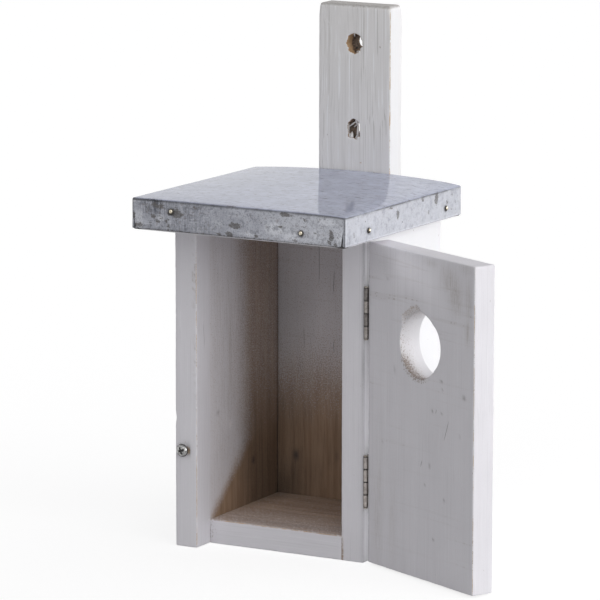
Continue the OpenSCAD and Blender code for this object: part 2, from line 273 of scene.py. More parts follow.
def makeBoard(low, high, look, holes=(), through=1):
    # A point near an arris moves onto a quarter round: its nearest point on the box shrunk by the radius,
    # plus the radius outwards. The radius wanders. Round a hole, squares of growing size turn into circles:
    # a point blends its angle's place on the hole's rim with its place on the outermost square.
    low = np.array(low, float)
    high = np.array(high, float)
    flat, quads = boardGrid(low, high, look, holes, through)
    seed = look["seed"]
    fromLow = flat - low
    fromHigh = high - flat
    fromSides = np.minimum(fromLow, fromHigh)
    inTunnel = fromSides.min(axis=1) > touching
    radius = look["arris"] * (1 + look["wander"] * layeredNoise(flat, 5, seed))
    radius = (radius + look.get("topRound", 0) * ease(flat[:, 2], high[2] - 6, high[2] - 1))[:, None]
    core = np.clip(flat, low + radius, high - radius)
    normal = flat - core
    normal = normal / np.maximum(np.linalg.norm(normal, axis=1, keepdims=True), 1e-9)
    shaped = np.where(inTunnel[:, None], flat, core + normal * radius)
    across = [(through + 1) % 3, (through + 2) % 3]
    for hole in holes:
        offset = (flat - hole["centre"])[:, across]
        square = np.abs(offset).max(axis=1)
        angle = np.arctan2(offset[:, 1], offset[:, 0])
        direction = np.stack([np.cos(angle), np.sin(angle)], -1)
        rim = hole.get("rim", look["arris"])
        into = np.clip(rim - fromSides[:, through], 0, rim)
        ring = hole["shape"](angle, flat[:, through]) + rim - np.sqrt(rim ** 2 - into ** 2)
        part = np.clip((square - hole["half"]) / (hole["reach"] - hole["half"]), 0, 1)[:, None]
        outermost = offset * (hole["reach"] / np.maximum(square, touching))[:, None]
        moved = (1 - part) * ring[:, None] * direction + part * outermost + np.array(hole["centre"])[across]
        near = square < hole["reach"] - touching
        shaped[np.ix_(near, across)] = moved[near]
        wall = near & inTunnel
        normal[np.ix_(wall, across)] = -direction[wall]
    # wear of the arrises and chips, then the slow bow and the grain's relief
    patchy = 0.72 + 0.5 * layeredNoise(flat, (2.5, 2.5, 6), seed + 7)
    arrisAway = np.where(inTunnel, 9, np.sort(fromSides, axis=1)[:, 1])
    chip = ease(layeredNoise(flat, 3.2, seed + 3), 0.42, 0.8) * bell(arrisAway, 0.7) * look["chips"]
    wear = chip
    for arris, strength in look["worn"].items():
        gaps = [(fromLow if sign < 0 else fromHigh)[:, axis] for axis, sign in enumerate(arris) if sign]
        wear = strongest(wear, strength * patchy * bell(np.hypot(*gaps), look["wearWidth"]))
    plank = shaped[:, [axis for axis in range(3) if axis != look["grain"]] + [look["grain"]]]
    grain = np.full(3, 1.6)
    grain[look["grain"]] = 30
    relief = look["bow"] * latticeNoise(flat, 42, seed + 11) + 0.035 * latticeNoise(flat, grain, seed + 13)
    shaped += normal * (relief - 0.3 * chip)[:, None]
    board = {key: np.zeros(len(flat)) for key in boardLayers}
    board.update(flat=flat, points=shaped, quads=quads, inTunnel=inTunnel, wear=wear)
    board["plank"] = plank + seed * np.array([53.0, 31.0, 17.0])     # no two boards share their grain
    board["coat"] += 1
    board["crackSide"] += 9     # far from any crack
    return board


def addCracks(board, across, along, cracks, seed):
    # Cracks run along one coordinate and wander a little across it. Each is (place across, middle, half
    # length, strength): its signed distance and its strength are kept, and the finish draws the thin line.
    wander = 0.55 * latticeNoise(board["flat"], (9, 9, 6), seed)
    for place, middle, half, strength in cracks:
        away = across - place - wander
        here = strength * ease(np.abs(along - middle), half, half * 0.4) * ease(np.abs(away), 2.6, 1.8)
        board["crackSide"] = np.where(here > board["crackDepth"], away, board["crackSide"])
        board["crackDepth"] = strongest(board["crackDepth"], here)


def finishBoard(name, board, material, body, replaced, settle=None, weld=False):
    # The board's arrays become a mesh; settle moves it to where it stands
    points = board["points"] if settle is None else settle(board["points"])
    mesh = makeMesh(name, points, board["quads"], {key: board[key] for key in boardLayers}, weld)
    addPiece(name, mesh, material, body, replaced)


def underRoof(top):
    # Scales heights so that a board cut level at the given top ends along the roof board's underside
    def settle(points):
        settled = points.copy()
        settled[:, 2] *= roofUnder(points[:, 1]) / top
        return settled
    return settle


def tint(red, green, blue):
    # A colour as it is seen on a screen, 0 to 255, turned into the light that it sends back
    seen = np.array([red, green, blue]) / 255
    light = np.where(seen <= 0.04045, seen / 12.92, ((seen + 0.055) / 1.055) ** 2.4)
    return (*light.tolist(), 1.0)


class Finish:
    # A material, or the world, in the making. Each step adds nodes and returns its result.

    def __init__(self, holder):
        self.holder = holder
        self.holder.use_nodes = True
        self.tree = self.holder.node_tree
        self.tree.nodes.clear()

    def add(self, kind, inputs, **settings):
        # Adds one node; each of its inputs is a value or the result of another node
        made = self.tree.nodes.new("ShaderNode" + kind)
        for key, value in settings.items():
            setattr(made, key, value)
        for key, value in inputs.items():
            if isinstance(value, bpy.types.NodeSocket):
                self.tree.links.new(value, made.inputs[key])
            else:
                made.inputs[key].default_value = value
        return made

    def attribute(self, name, kind="Fac"):
        # An amount that the mesh holds at each of its points
        return self.add("Attribute", {}, attribute_name=name).outputs[kind]

    def place(self):
        # Place on the object in millimetres
        where = self.add("TexCoord", {}).outputs["Object"]
        return self.turned(where, (perMetre, perMetre, perMetre))

    def turned(self, where, scale, turn=(0, 0, 0), shift=(0, 0, 0)):
        # A place scaled, then turned, then shifted
        inputs = {"Vector": where, "Location": shift, "Rotation": turn, "Scale": scale}
        return self.add("Mapping", inputs).outputs[0]

    def noise(self, where, scale, detail=2.0, rough=0.5, turn=(0, 0, 0), shift=(0, 0, 0)):
        # Cloudy numbers from 0 to 1. The scale is the count of clouds to a millimetre, in all or each way.
        scale = scale if isinstance(scale, tuple) else (scale, scale, scale)
        inputs = {"Scale": 1.0, "Detail": detail, "Roughness": rough}
        return self.add("TexNoise", {"Vector": self.turned(where, scale, turn, shift), **inputs}).outputs[0]

    def spread(self, value, low, high, start=0.0, end=1.0):
        # The start up to low, the end from high on, and a smooth step between them
        inputs = {"Value": value, "From Min": low, "From Max": high, "To Min": start, "To Max": end}
        return self.add("MapRange", inputs, interpolation_type="SMOOTHSTEP").outputs[0]

    def calc(self, operation, *values):
        # One sum on numbers. The next four are the product, sum, difference and larger of two of them.
        return self.add("Math", dict(enumerate(values)), operation=operation).outputs[0]

    def times(self, first, second):
        return self.calc("MULTIPLY", first, second)

    def plus(self, first, second):
        return self.calc("ADD", first, second)

    def less(self, first, second):
        return self.calc("SUBTRACT", first, second)

    def larger(self, first, second):
        return self.calc("MAXIMUM", first, second)

    def blend(self, amount, first, second):
        # The first colour where the amount is 0, the second where it is 1
        return self.add("Mix", {0: amount, 6: first, 7: second}, data_type="RGBA").outputs[2]

    def shade(self, colour, value):
        # Multiplies a colour by a number
        return self.add("VectorMath", {0: colour, "Scale": value}, operation="SCALE").outputs[0]

    def seen(self):
        # 1 for the eye, for reflections and for what shows through glass, and 0 for other light
        rays = self.add("LightPath", {}).outputs
        seen = self.larger(rays["Is Camera Ray"], rays["Is Glossy Ray"])
        return self.larger(seen, rays["Is Transmission Ray"])

    def done(self, colour, rough, height, relief, metal=0.0, gloss=0.5):
        # The bump's relief is in millimetres
        bump = self.add("Bump", {"Height": height, "Distance": relief / perMetre, "Strength": 1.0})
        inputs = {"Base Color": colour, "Roughness": rough, "Metallic": metal, "Specular IOR Level": gloss}
        shader = self.add("BsdfPrincipled", {**inputs, "Normal": bump.outputs[0]})
        self.add("OutputMaterial", {"Surface": shader.outputs[0]})
        return self.holder


def finishNamed(name):
    # A new material, ready for its nodes
    return Finish(bpy.data.materials.new(name))


boardFinish = dict(
    paint=tint(232, 230, 235), paintDark=tint(200, 197, 202), paintLight=tint(246, 245, 249),
    freshAndLitPaint=tint(237, 237, 239), crack=tint(60, 52, 47),
    rawLight=tint(173, 146, 122), rawDark=tint(150, 122, 98), rawLine=tint(102, 79, 62),
    bareArris=tint(186, 154, 118), grime=tint(150, 137, 122), knot=tint(88, 78, 74),
    speck=tint(124, 102, 84), paintRough=0.62, rawRough=0.85, relief=0.13)


def paintedBoard(name, look, streaks):
    # Thin white paint on sawn softwood: the grain runs along the third coordinate of the plank attribute
    make = finishNamed(name)
    plank = make.attribute("plank", "Vector")
    coat = make.attribute("coat")
    drift = make.noise(plank, (0.02, 0.02, 0.013))
    aside = make.times(make.less(drift, 0.5), 4.0)
    offset = make.add("CombineXYZ", {"X": aside, "Y": aside}).outputs[0]
    grain = make.add("VectorMath", {0: plank, 1: offset}, operation="ADD").outputs[0]
    fibre = make.noise(grain, (1.9, 1.9, 0.05), 5, 0.62)
    thin = make.noise(grain, (1.2, 1.2, 0.014), 3, 0.6)
    streak = make.noise(grain, (0.34, 0.34, 0.008), 3, 0.55)
    wide = make.noise(grain, (0.07, 0.07, 0.004))
    fineLine = make.noise(grain, (1.5, 1.5, 0.009))
    hair = make.noise(grain, (1.5, 1.5, 0.07), 4, 0.65)
    cloud = make.noise(plank, (0.045, 0.045, 0.03), 3)
    grit = make.noise(plank, (2.4, 2.4, 1.8), 3, 0.6)
    mottle = make.noise(plank, (0.5, 0.5, 0.4))
    drops = make.noise(plank, (1.85, 1.85, 1.6), 2, 0.6)
    # bare wood: faint growth bands from a folded slow noise, with fine fibres over them
    folded = make.calc("PINGPONG", make.times(make.noise(grain, (0.09, 0.09, 0.0028), 2, 0.45), 7.0), 0.5)
    raw = make.blend(make.spread(folded, 0.0, 0.5, 0.2, 0.8), look["rawLight"], look["rawDark"])
    raw = make.blend(make.spread(fibre, 0.46, 0.74, 0.0, 0.5), raw, look["rawLine"])
    raw = make.blend(make.spread(hair, 0.54, 0.7, 0.0, 0.26), raw, look["rawLine"])
    raw = make.shade(raw, make.spread(cloud, 0.25, 0.75, 0.9, 1.08))
    # paint: the grain shows through as light and dark streaks; each is (noise, from, to, amount, tone)
    dark = look["paintDark"]
    light = look["paintLight"]
    paint = look["paint"]
    for lines, low, high, amount, tone in (
            (streak, 0.5, 0.78, 0.36 * streaks, dark), (thin, 0.56, 0.72, 0.3 * streaks, dark),
            (thin, 0.41, 0.36, 0.95 * streaks, light), (fineLine, 0.63, 0.665, 0.75 * streaks, dark),
            (fibre, 0.5, 0.8, 0.1 + 0.15 * streaks, dark), (grit, 0.5, 0.75, 0.12, dark)):
        paint = make.blend(make.spread(lines, low, high, 0.0, amount), paint, tone)
    paint = make.shade(paint, make.spread(wide, 0.3, 0.7, 0.985, 1.01))
    paint = make.shade(paint, make.spread(cloud, 0.3, 0.7, 0.98, 1.015))
    # plain fresh paint, and on the right wall's outer side a lighter tone painted in as light for its lit
    # side
    paint = make.blend(make.attribute("freshAndLit"), paint, look["freshAndLitPaint"])
    # saw marks run straight across the grain: faint lines, here and there broken into dots
    sawn = make.attribute("sawn")
    line = make.noise(plank, (0.016, 0.016, 0.42), 2, 0.55, turn=(0.0, 0.03, 0.0))
    faint = make.times(make.spread(line, 0.56, 0.7), sawn)
    paint = make.blend(make.times(faint, 0.09), paint, look["grime"])
    broken = make.times(make.spread(line, 0.64, 0.7), make.spread(mottle, 0.58, 0.66))
    paint = make.blend(make.times(make.times(broken, sawn), 0.32), paint, look["speck"])
    # dirt lies in the grain, and a few specks stand alone
    stained = make.times(make.attribute("grime"), make.spread(hair, 0.4, 0.64, 0.3, 1.0))
    paint = make.blend(make.times(stained, make.spread(grit, 0.3, 0.6, 0.6, 1.0)), paint, look["grime"])
    speckPlace = make.noise(plank, (0.85, 0.85, 0.5), 1)
    speck = make.times(make.spread(speckPlace, 0.775, 0.81), make.spread(mottle, 0.5, 0.62))
    paint = make.blend(make.times(speck, 0.55), paint, look["speck"])
    # where paint ends it thins out in a fine mist: drops show above a limit that falls as the coat grows
    limit = make.calc("MULTIPLY_ADD", coat, -0.34, 0.67)
    limit = make.less(limit, make.spread(coat, 0.93, 1.0, 0.0, 0.5))
    limit = make.plus(limit, make.spread(coat, 0.0, 0.06, 0.5, 0.0))
    crisp = make.spread(make.less(drops, limit), -0.035, 0.035)
    cover = make.plus(make.times(crisp, 0.42), make.times(coat, 0.58))
    colour = make.blend(cover, raw, paint)
    # flecks, bare arrises, knots and cracks lie over both, and soil and painted shade darken them all; below
    # 0 the amount lightens, as painted light
    dots = make.noise(plank, (1.35, 1.35, 1.2), 1, 0.6)
    dotted = make.calc("MULTIPLY_ADD", make.attribute("specks"), 0.34, dots)
    colour = make.blend(make.spread(dotted, 0.82, 0.91, 0.0, 0.55), colour, look["speck"])
    worn = make.spread(make.plus(make.attribute("wear"), make.times(make.less(grit, 0.5), 0.9)), 0.4, 0.75)
    colour = make.blend(make.times(worn, 0.85), colour, look["bareArris"])
    colour = make.blend(make.times(make.attribute("knot"), 0.85), colour, look["knot"])
    cracked = make.spread(make.calc("ABSOLUTE", make.attribute("crackSide")), 0.1, 0.3, 1.0, 0.0)
    colour = make.blend(make.times(cracked, make.attribute("crackDepth")), colour, look["crack"])
    uneven = make.times(make.attribute("soilAndShade"), make.spread(grit, 0.3, 0.65, 0.8, 1.1))
    colour = make.shade(colour, make.less(1.0, uneven))
    rough = make.spread(cover, 0.0, 1.0, look["rawRough"], look["paintRough"])
    height = make.less(make.times(fibre, 0.5), make.times(faint, 0.3))
    height = make.less(make.plus(height, make.times(grit, 0.3)), make.times(worn, 0.5))
    return make.done(colour, rough, height, look["relief"])


streakyFinish = dict(
    boardFinish, freshAndLitPaint=tint(228, 228, 230), paint=tint(234, 232, 231), paintDark=tint(198, 195, 192),
    paintLight=tint(248, 248, 249))
plainWood = paintedBoard("whitewashedSoftwood", boardFinish, streaks=0.24)
streakyWood = paintedBoard("whitewashedStreakySoftwood", streakyFinish, streaks=1.15)
print("wood finishes made")

wallLook = dict(cell=1.3, arris=0.65, wander=0.4, bow=0.12, chips=0.5, wearWidth=0.5, grain=2)

# the marks of a face are (place across, place up, half width, half height, strength)
leftLook = dict(
    wallLook, seed=3, worn={(1, -1, 0): 0.86, (-1, -1, 0): 0.35, (0, -1, -1): 0.5, (-1, 0, -1): 0.4},
    sprayCoat=0.96, thinCoat=0.38, flecks=0.72,
    knots=((3.4, 33.4, 1.3, 1.9, 1.2), (-32, 64, 1.0, 1.1, 0.5), (-6.5, 44.8, 0.9, 0.6, 0.5)),
    paleSpots=((-19.5, 56, 1.3, 2.0, 0.22),),
    smears=((-38.0, 133, 1.1, 19, 1.0), (-37.6, 96, 0.8, 22, 0.7)),
    cracks=((-45.5, 105, 8, 0.3), (-31.8, 134, 6, 0.2)))
latchX = (latchLow[0] + latchHigh[0]) / 2
latchZ = (latchLow[2] + latchHigh[2]) / 2


def dressLeftWall(look):
    # Painted outside and in front; inside, the paint thins out in a mist
    board = makeBoard(leftLow, leftHigh, look)
    flat = board["flat"]
    x, y, z = flat.T
    insideFace = onFace(leftHigh[0] - x)
    inside = insideFace * ease(y, rightLow[1] + 0.2, rightLow[1] + 0.8)
    # the spray reached the front of the inner face, less and less towards the bottom and the back
    rise = np.maximum(z - floorHigh[2], -1)
    mistEdge = np.minimum(-2.5, -38.5 + rise * 1.08) + 8 * ease(z, 146, 160)
    mistEdge += 2.5 * latticeNoise(flat, (9, 9, 30), 21)
    mistWidth = 7 + 14 * ease(z, 20, 70)
    sprayed = ease(y, mistEdge + mistWidth, mistEdge - mistWidth)
    coat = strongest(look["sprayCoat"] * sprayed, look["thinCoat"] * ease(z, 25, 90))
    board["coat"] = 1 - inside * (1 - coat)
    board["coat"] -= 0.06 * inside * ease(y, -50, -34)
    grime = insideFace * ease(y, -54, -22) * (0.2 + 0.18 * layeredNoise(flat, (4, 4, 30), 23))
    # painted shade inside: darker towards the back and low down, and in the corner by the back wall
    board["soilAndShade"] = inside * (0.12 * ease(y, -14, 4) + 0.42 * ease(y, -26, 8) * ease(z, 92, 26))
    board["soilAndShade"] += 0.25 * insideFace * ease(y, backLow[1] - 1.6, backLow[1] - 0.4)
    # smears of dirt beside the inner front arris, and flecks along it
    frontFace = bell(y - leftLow[1], 3)
    smear = strongest(*bellMarks(look["smears"], x, z)) * frontFace
    smear = smear * ease(layeredNoise(flat, (0.7, 3, 1.6), 29), 0.0, 0.3)
    board["grime"] = strongest(grime, 0.95 * smear)
    flecked = ease(layeredNoise(flat, (4, 4, 7), 31), -0.1, 0.5)
    board["specks"] = look["flecks"] * flecked * bell(np.hypot(x - leftHigh[0], y - leftLow[1]), 1.4)
    board["knot"] = sum(bellMarks(look["knots"], y, z)) * bell(x - leftHigh[0], 3)
    board["soilAndShade"] -= sum(bellMarks(look["paleSpots"], y, z)) * bell(x - leftHigh[0], 3)
    addCracks(board, y, z, look["cracks"], 27)
    board["crackDepth"] *= insideFace
    # a bare crescent and a dent beside the latch screw, and a nick in the outer front arris
    crescent = bell(x - latchX - 2.7, 1.15) * bell(z - latchZ + 0.1, 2.9) * frontFace
    dent = bell(x - latchX - 1.2, 0.6) * bell(z - latchZ - 3.7, 0.8) * frontFace
    nick = bell(x - leftLow[0], 1.6) * bell(y - leftLow[1], 2.2) * bell(z - 64.4, 2.2)
    board["wear"] = strongest(board["wear"], 1.1 * crescent, 0.8 * dent)
    board["soilAndShade"] += 0.52 * crescent
    board["points"][:, 0] += 0.45 * nick
    board["points"][:, 1] += 0.12 * smear + 0.25 * crescent + 0.3 * dent
    finishBoard("leftWallBoard", board, plainWood, "box", "left_wall", underRoof(leftHigh[2]))


dressLeftWall(leftLook)

rightLook = dict(
    wallLook, arris=0.42, seed=5, worn={(-1, -1, 0): 0.35, (1, -1, 0): 0.3, (0, -1, -1): 0.4},
    sprayCoat=0.95, thinCoat=0.3)


def dressRightWall(look):
    # Painted like the left wall, with painted shade where the door hangs and painted light on its outer side
    board = makeBoard(rightLow, rightHigh, look)
    flat = board["flat"]
    x, y, z = flat.T
    behindFront = y - rightLow[1]
    insideFace = onFace(x - rightLow[0])
    mistEdge = np.minimum(-6, -36 + (z - floorHigh[2]) * 1.1) + 2.5 * latticeNoise(flat, (9, 9, 30), 41)
    sprayed = ease(y, mistEdge + 12, mistEdge - 10)
    coat = strongest(look["sprayCoat"] * sprayed, look["thinCoat"] * ease(z, 25, 90))
    board["coat"] = 1 - insideFace * (1 - coat)
    # painted shade along the arris beside the door, more of it higher up, and on the outer side under the
    # hinge barrels; the outer side is whiter, and lighter low down, as painted light
    upper = ease(z, 60, 112)
    board["soilAndShade"] = (0.15 + 0.22 * upper) * bell(np.hypot(x - rightHigh[0], behindFront) - 0.3, 0.85)
    board["soilAndShade"] *= 0.85 + 0.4 * layeredNoise(flat, (3, 3, 14), 43)
    outerSide = ease(x, rightHigh[0] - 0.4, rightHigh[0])
    underBarrel = ease(behindFront, 1.5, 2.3) * ease(behindFront, 9, 4)
    board["soilAndShade"] += outerSide * (0.24 * upper + 0.08) * underBarrel
    board["soilAndShade"] -= 0.07 * outerSide * ease(z, 146, 112) * ease(behindFront, 6, 14)
    board["freshAndLit"] = 0.9 * outerSide * ease(behindFront, 0.6, 1.6)
    finishBoard("rightWallBoard", board, plainWood, "box", "right_wall", underRoof(rightHigh[2]))


dressRightWall(rightLook)

backLook = dict(
    wallLook, seed=8, worn={(0, 1, -1): 0.4},
    knots=((-26.2, 32.1, 1.6, 2.6, 1.2), (-26.6, 24, 1.4, 6.0, 0.35), (-2.8, 33.6, 0.8, 2.6, 0.45)),
    cracks=((-13.2, 132, 15, 0.42), (-4.5, 122.5, 7, 0.55), (-4.4, 90, 4, 0.5), (-21.7, 93, 6, 0.3)))


def dressBackWall(look):
    # Bare low down and sprayed higher up, with painted shade that deepens low down and towards the left, and
    # drying cracks near the top
    board = makeBoard(backLow, backHigh, look)
    flat = board["flat"]
    x, y, z = flat.T
    insideFace = onFace(y - backLow[1])
    rise = z + 6 * layeredNoise(flat, (12, 12, 26), 51) - 0.12 * (x + 20)
    board["coat"] = 1 - insideFace * (1 - 0.8 * ease(rise, 42, 104))
    towardsLeft = ease(x, -6, -38)
    soilAndShade = 0.06 + 0.12 * ease(z, 75, 20)
    soilAndShade += towardsLeft * (0.34 - 0.2 * ease(z, 108, 140) + 0.24 * ease(z, 32, 14))
    board["soilAndShade"] = insideFace * soilAndShade
    board["sawn"] = insideFace * ease(z, 80, 110)
    board["knot"] = sum(bellMarks(look["knots"], x, z)) * bell(y - backLow[1], 3)
    addCracks(board, x, z, look["cracks"], 57)
    board["crackDepth"] *= insideFace
    finishBoard("backWallBoard", board, plainWood, "box", "back_wall", underRoof(backHigh[2]))


dressBackWall(backLook)

floorLook = dict(wallLook, seed=12, grain=0, worn={(0, -1, 1): 0.9}, edgeSpecks=0.85)


def dressFloor(look):
    # Bare on top, where the grain shows as darker and lighter stripes, and painted along its front edge
    board = makeBoard(floorLow, floorHigh, look)
    flat = board["flat"]
    x, y, z = flat.T
    topFace = ease(z, floorHigh[2] - 0.8, floorHigh[2] - 0.2)
    bare = 0.88 - 0.2 * ease(y, 6, -38) - 0.2 * ease(y, floorLow[1] + 2.0, floorLow[1])
    board["coat"] = 1 - topFace * bare
    soilAndShade = 0.17 * layeredNoise(flat, (44, 2.6, 9), 14, 2) - 0.09
    # painted shade beside the left wall and towards the back, and on the front edge beside the left wall
    soilAndShade += 0.32 * ease(x, -22, -37) * ease(y, -24, 10) + 0.14 * ease(y, 12, 28)
    board["soilAndShade"] = topFace * soilAndShade + 0.12 * (1 - topFace) * bell(x - floorLow[0], 3.5)
    frontEdge = ease(y, floorLow[1] + 0.5, floorLow[1])
    board["specks"] = look["edgeSpecks"] * (1 - topFace) * ease(x, -30, -37) * frontEdge
    finishBoard("floorBoard", board, plainWood, "box", "floor_board")


dressFloor(floorLook)

roofLook = dict(wallLook, cell=2.4, arris=0.5, seed=15, grain=0, worn={(0, -1, -1): 0.3})


def ontoFall(points):
    # A level slab is lifted so that its underside follows the roof's fall
    lifted = points.copy()
    lifted[:, 2] += roofUnder(points[:, 1])
    return lifted


def dressRoofBoard(look):
    # Painted shade at its corners, where it shows through the slits of the sheet
    top = boardHigh[2] - roofUnder(boardLow[1])
    board = makeBoard((*boardLow[:2], 0), (*boardHigh[:2], top), look)
    fromSides = np.minimum(board["flat"] - boardLow, boardHigh - board["flat"])
    board["soilAndShade"] = 0.97 * ease(np.hypot(fromSides[:, 0], fromSides[:, 1]), 6, 3.5)
    finishBoard("roofBoard", board, plainWood, "box", "roof_board", ontoFall)


dressRoofBoard(roofLook)
print("body boards made")

# a splinter is (start, end, thickness, bow), and its ends are (across, depth in the wood, height above the
# middle of its hanging hole)
slatLook = dict(
    cell=1.1, arris=0.5, topRound=1.1, wander=0.5, bow=0.1, chips=0.6, wearWidth=0.5, grain=2, seed=21,
    worn={(1, -1, 0): 1.0, (0, -1, 1): 0.25, (-1, -1, 0): 0.2, (1, 0, 1): 0.3},
    upperDrop=19.3, pitch=43.3, tear=0.3, screwIn=9.0, headReach=3.0, screwHead=3.05, screwShank=1.55,
    cleanFront=0.13, freshSide=0.8,
    upperSplinters=(
        ((1.6, 0.95, -6.6), (1.1, 0.75, -3.4), 0.4, 0.0),
        ((3.4, 0.95, -5.6), (2.7, 0.65, -2.6), 0.34, 0.0),
        ((-1.4, 1.35, 5.9), (-0.4, 1.15, 3.2), 0.36, 0.0)),
    lowerSplinters=(
        ((1.9, 0.75, 4.4), (1.5, 0.95, -5.6), 0.58, 0.2),
        ((0.1, 0.95, 6.0), (1.6, 0.75, 2.8), 0.6, 0.1),
        ((-1.7, 1.05, -0.8), (-1.9, 0.85, -5.8), 0.9, 0.2),
        ((-3.0, 1.15, -1.6), (-2.9, 0.95, -5.6), 0.85, 0.1),
        ((1.5, 1.05, -1.4), (0.4, 0.95, -5.8), 0.6, 0.1),
        ((-3.6, 1.05, 1.4), (0.8, 0.75, 4.4), 0.34, 0.1),
        ((-1.0, 1.55, 1.2), (1.5, 1.25, 3.4), 0.28, 0.0),
        ((-3.3, 0.65, 3.6), (-3.5, 0.75, -3.0), 0.3, 0.15),
        ((3.4, 0.75, -0.6), (2.7, 1.05, -4.6), 0.35, 0.1)),
    nicks=(
        (3.7, 181.1, 1.0, 0.6, 0.85), (8.4, 177.3, 0.8, 0.6, 0.85), (11.3, 177.2, 0.9, 0.6, 0.85),
        (-7.5, 242.7, 0.5, 0.6, 0.85), (14.5, 183, 0.5, 0.6, 0.85)))


def tornHole(width, height, backRadius, seed, tear):
    # Radius of a drilled hole against angle (from up towards +x) and depth: an ellipse with the given half
    # width and height in front turns into a circle at the back. It is rough all over, and torn in front.
    def shape(angle, depth):
        ring = np.stack([np.cos(angle) * 4, np.sin(angle) * 4, depth * 0.4], -1)
        oval = 1 / np.sqrt((np.cos(angle) / height) ** 2 + (np.sin(angle) / width) ** 2)
        clean = oval + (backRadius - oval) * ease(depth, slatLow[1] + 0.5, slatLow[1] + 6)
        ragged = layeredNoise(ring, 1.1, seed)
        lowSide = 0.5 - 0.5 * np.cos(angle)
        inFront = np.exp(-(depth - slatLow[1]) / 1.2)
        return clean * (1 + 0.05 * ragged + tear * (0.35 + lowSide) * ragged * inFront)
    return shape


def screwHole(headRadius, shankRadius):
    # Radius of a countersunk hole: the shank's, widening to the head's at the back face
    def shape(angle, depth):
        return np.clip(headRadius - (slatHigh[1] - depth), shankRadius, headRadius)
    return shape


def addSplinters(board, splinters, hole):
    # Each splinter is a closed spindle between two places: its radius is its thickness times sin(pi t)^0.6,
    # uneven round it, and it bulges forward by its bow
    along = np.linspace(0, 1, 9)[:, None]
    turn = np.linspace(0, 2 * math.pi, 7, endpoint=False)
    parts = [(board["points"], board["quads"])]
    for start, end, thick, forward in splinters:
        start = np.array(start) + hole
        reach = np.array(end) + hole - start
        sideways = np.cross(reach, (0, 1, 0))
        sideways = sideways / np.linalg.norm(sideways)
        uneven = 1 + 0.25 * np.sin(5 * along + 3 * turn + start.sum())
        radius = thick * np.sin(math.pi * along) ** 0.6 * uneven
        grid = start + along[..., None] * reach + (radius * np.cos(turn))[..., None] * sideways
        grid[..., 1] += 0.7 * radius * np.sin(turn) - forward * np.sin(math.pi * along)
        parts.append((grid, cellsOf(grid.shape[:2], loop=1)))
    points, board["quads"] = joined(parts)
    added = points[len(board["points"]):]
    filled = dict(points=added, flat=added, plank=added, coat=np.full(len(added), 0.9))
    for key in boardLayers + ("flat", "points", "inTunnel"):
        empty = np.zeros((len(added),) + board[key].shape[1:], board[key].dtype)
        board[key] = np.concatenate([board[key], filled.get(key, empty)])


def dressSlat(look):
    # One long board with two torn hanging holes and four countersunk screw holes
    upperZ = slatHigh[2] - look["upperDrop"]
    lowerZ = upperZ - look["pitch"]
    upperShape = tornHole(4.2, 5.1, 3.45, 61, look["tear"])
    lowerShape = tornHole(3.5, 5.2, 4.2, 67, look["tear"])
    holes = [
        dict(centre=(0, 0, upperZ), half=4.1, reach=11, cell=0.45, rim=0.3, shape=upperShape),
        dict(centre=(-0.2, 0, lowerZ + 0.3), half=3.8, reach=11, cell=0.45, rim=0.25, shape=lowerShape)]
    screwsLow, screwsHigh = boxOf("slat_screws")
    for side in (-1, 1):
        for screwZ in (screwsLow[2] + look["headReach"], screwsHigh[2] - look["headReach"]):
            centre = (side * (slatHigh[0] - look["screwIn"]), 0, screwZ)
            shape = screwHole(look["screwHead"], look["screwShank"])
            holes.append(dict(centre=centre, half=2.2, reach=5.5, cell=0.75, shape=shape))
    board = makeBoard(slatLow, slatHigh, look, holes)
    flat = board["flat"]
    points = board["points"]
    x, y, z = flat.T
    front = slatLow[1]
    # inside the hanging holes the wood is torn, and darker deeper in as painted shade; where the upper one
    # broke out in front it is bare and lighter, as painted light
    tornIn = y + 1.2 * layeredNoise(points, 1.3, 63)
    upperHole = board["inTunnel"] * (np.abs(z - upperZ) < 8)
    lowerHole = board["inTunnel"] * (np.abs(z - lowerZ) < 8)
    litBareTo = front + 3.4 - 3.0 * ease(points[:, 0], -3.2, 0.5)
    darkPart = ease(tornIn, litBareTo, litBareTo + 0.8)
    shadeAndDarkWood = 0.5 + 0.75 * layeredNoise(points, (0.9, 1.3, 0.7), 65, 3)
    board["wear"] = strongest(board["wear"], 1.2 * upperHole * (1 - darkPart))
    board["soilAndShade"] = upperHole * darkPart * shadeAndDarkWood
    board["soilAndShade"] += lowerHole * (shadeAndDarkWood + 0.1) * ease(tornIn, front - 0.4, front + 1.0)
    # the front is a little cleaner, with two lighter lines in it
    frontFace = ease(y, front + 0.5, front + 0.1)
    lightLines = bell(x + 1.9, 0.55) * ease(z, 236, 228) + 0.6 * bell(x - 2.6, 0.5) * ease(z, 190, 184)
    board["soilAndShade"] -= frontFace * (look["cleanFront"] + 0.12 * lightLines)
    board["freshAndLit"] = look["freshSide"] * ease(x, slatHigh[0] - 0.4, slatHigh[0])
    endGrain = ease(z, slatHigh[2] - 1.1, slatHigh[2] - 0.1)
    board["coat"] = np.minimum(1 - board["inTunnel"], 1 - 0.2 * endGrain)
    board["soilAndShade"] = strongest(board["soilAndShade"], 0.34 * endGrain)
    addSplinters(board, look["lowerSplinters"], (0, front, lowerZ))
    addSplinters(board, look["upperSplinters"], (0, front, upperZ))
    x, y, z = board["flat"].T
    board["wear"] = strongest(board["wear"], bell(y - front, 3) * strongest(*bellMarks(look["nicks"], x, z)))
    finishBoard("hangingSlatBoard", board, streakyWood, "box", "hanging_slat", weld=True)


dressSlat(slatLook)
print("slat made")

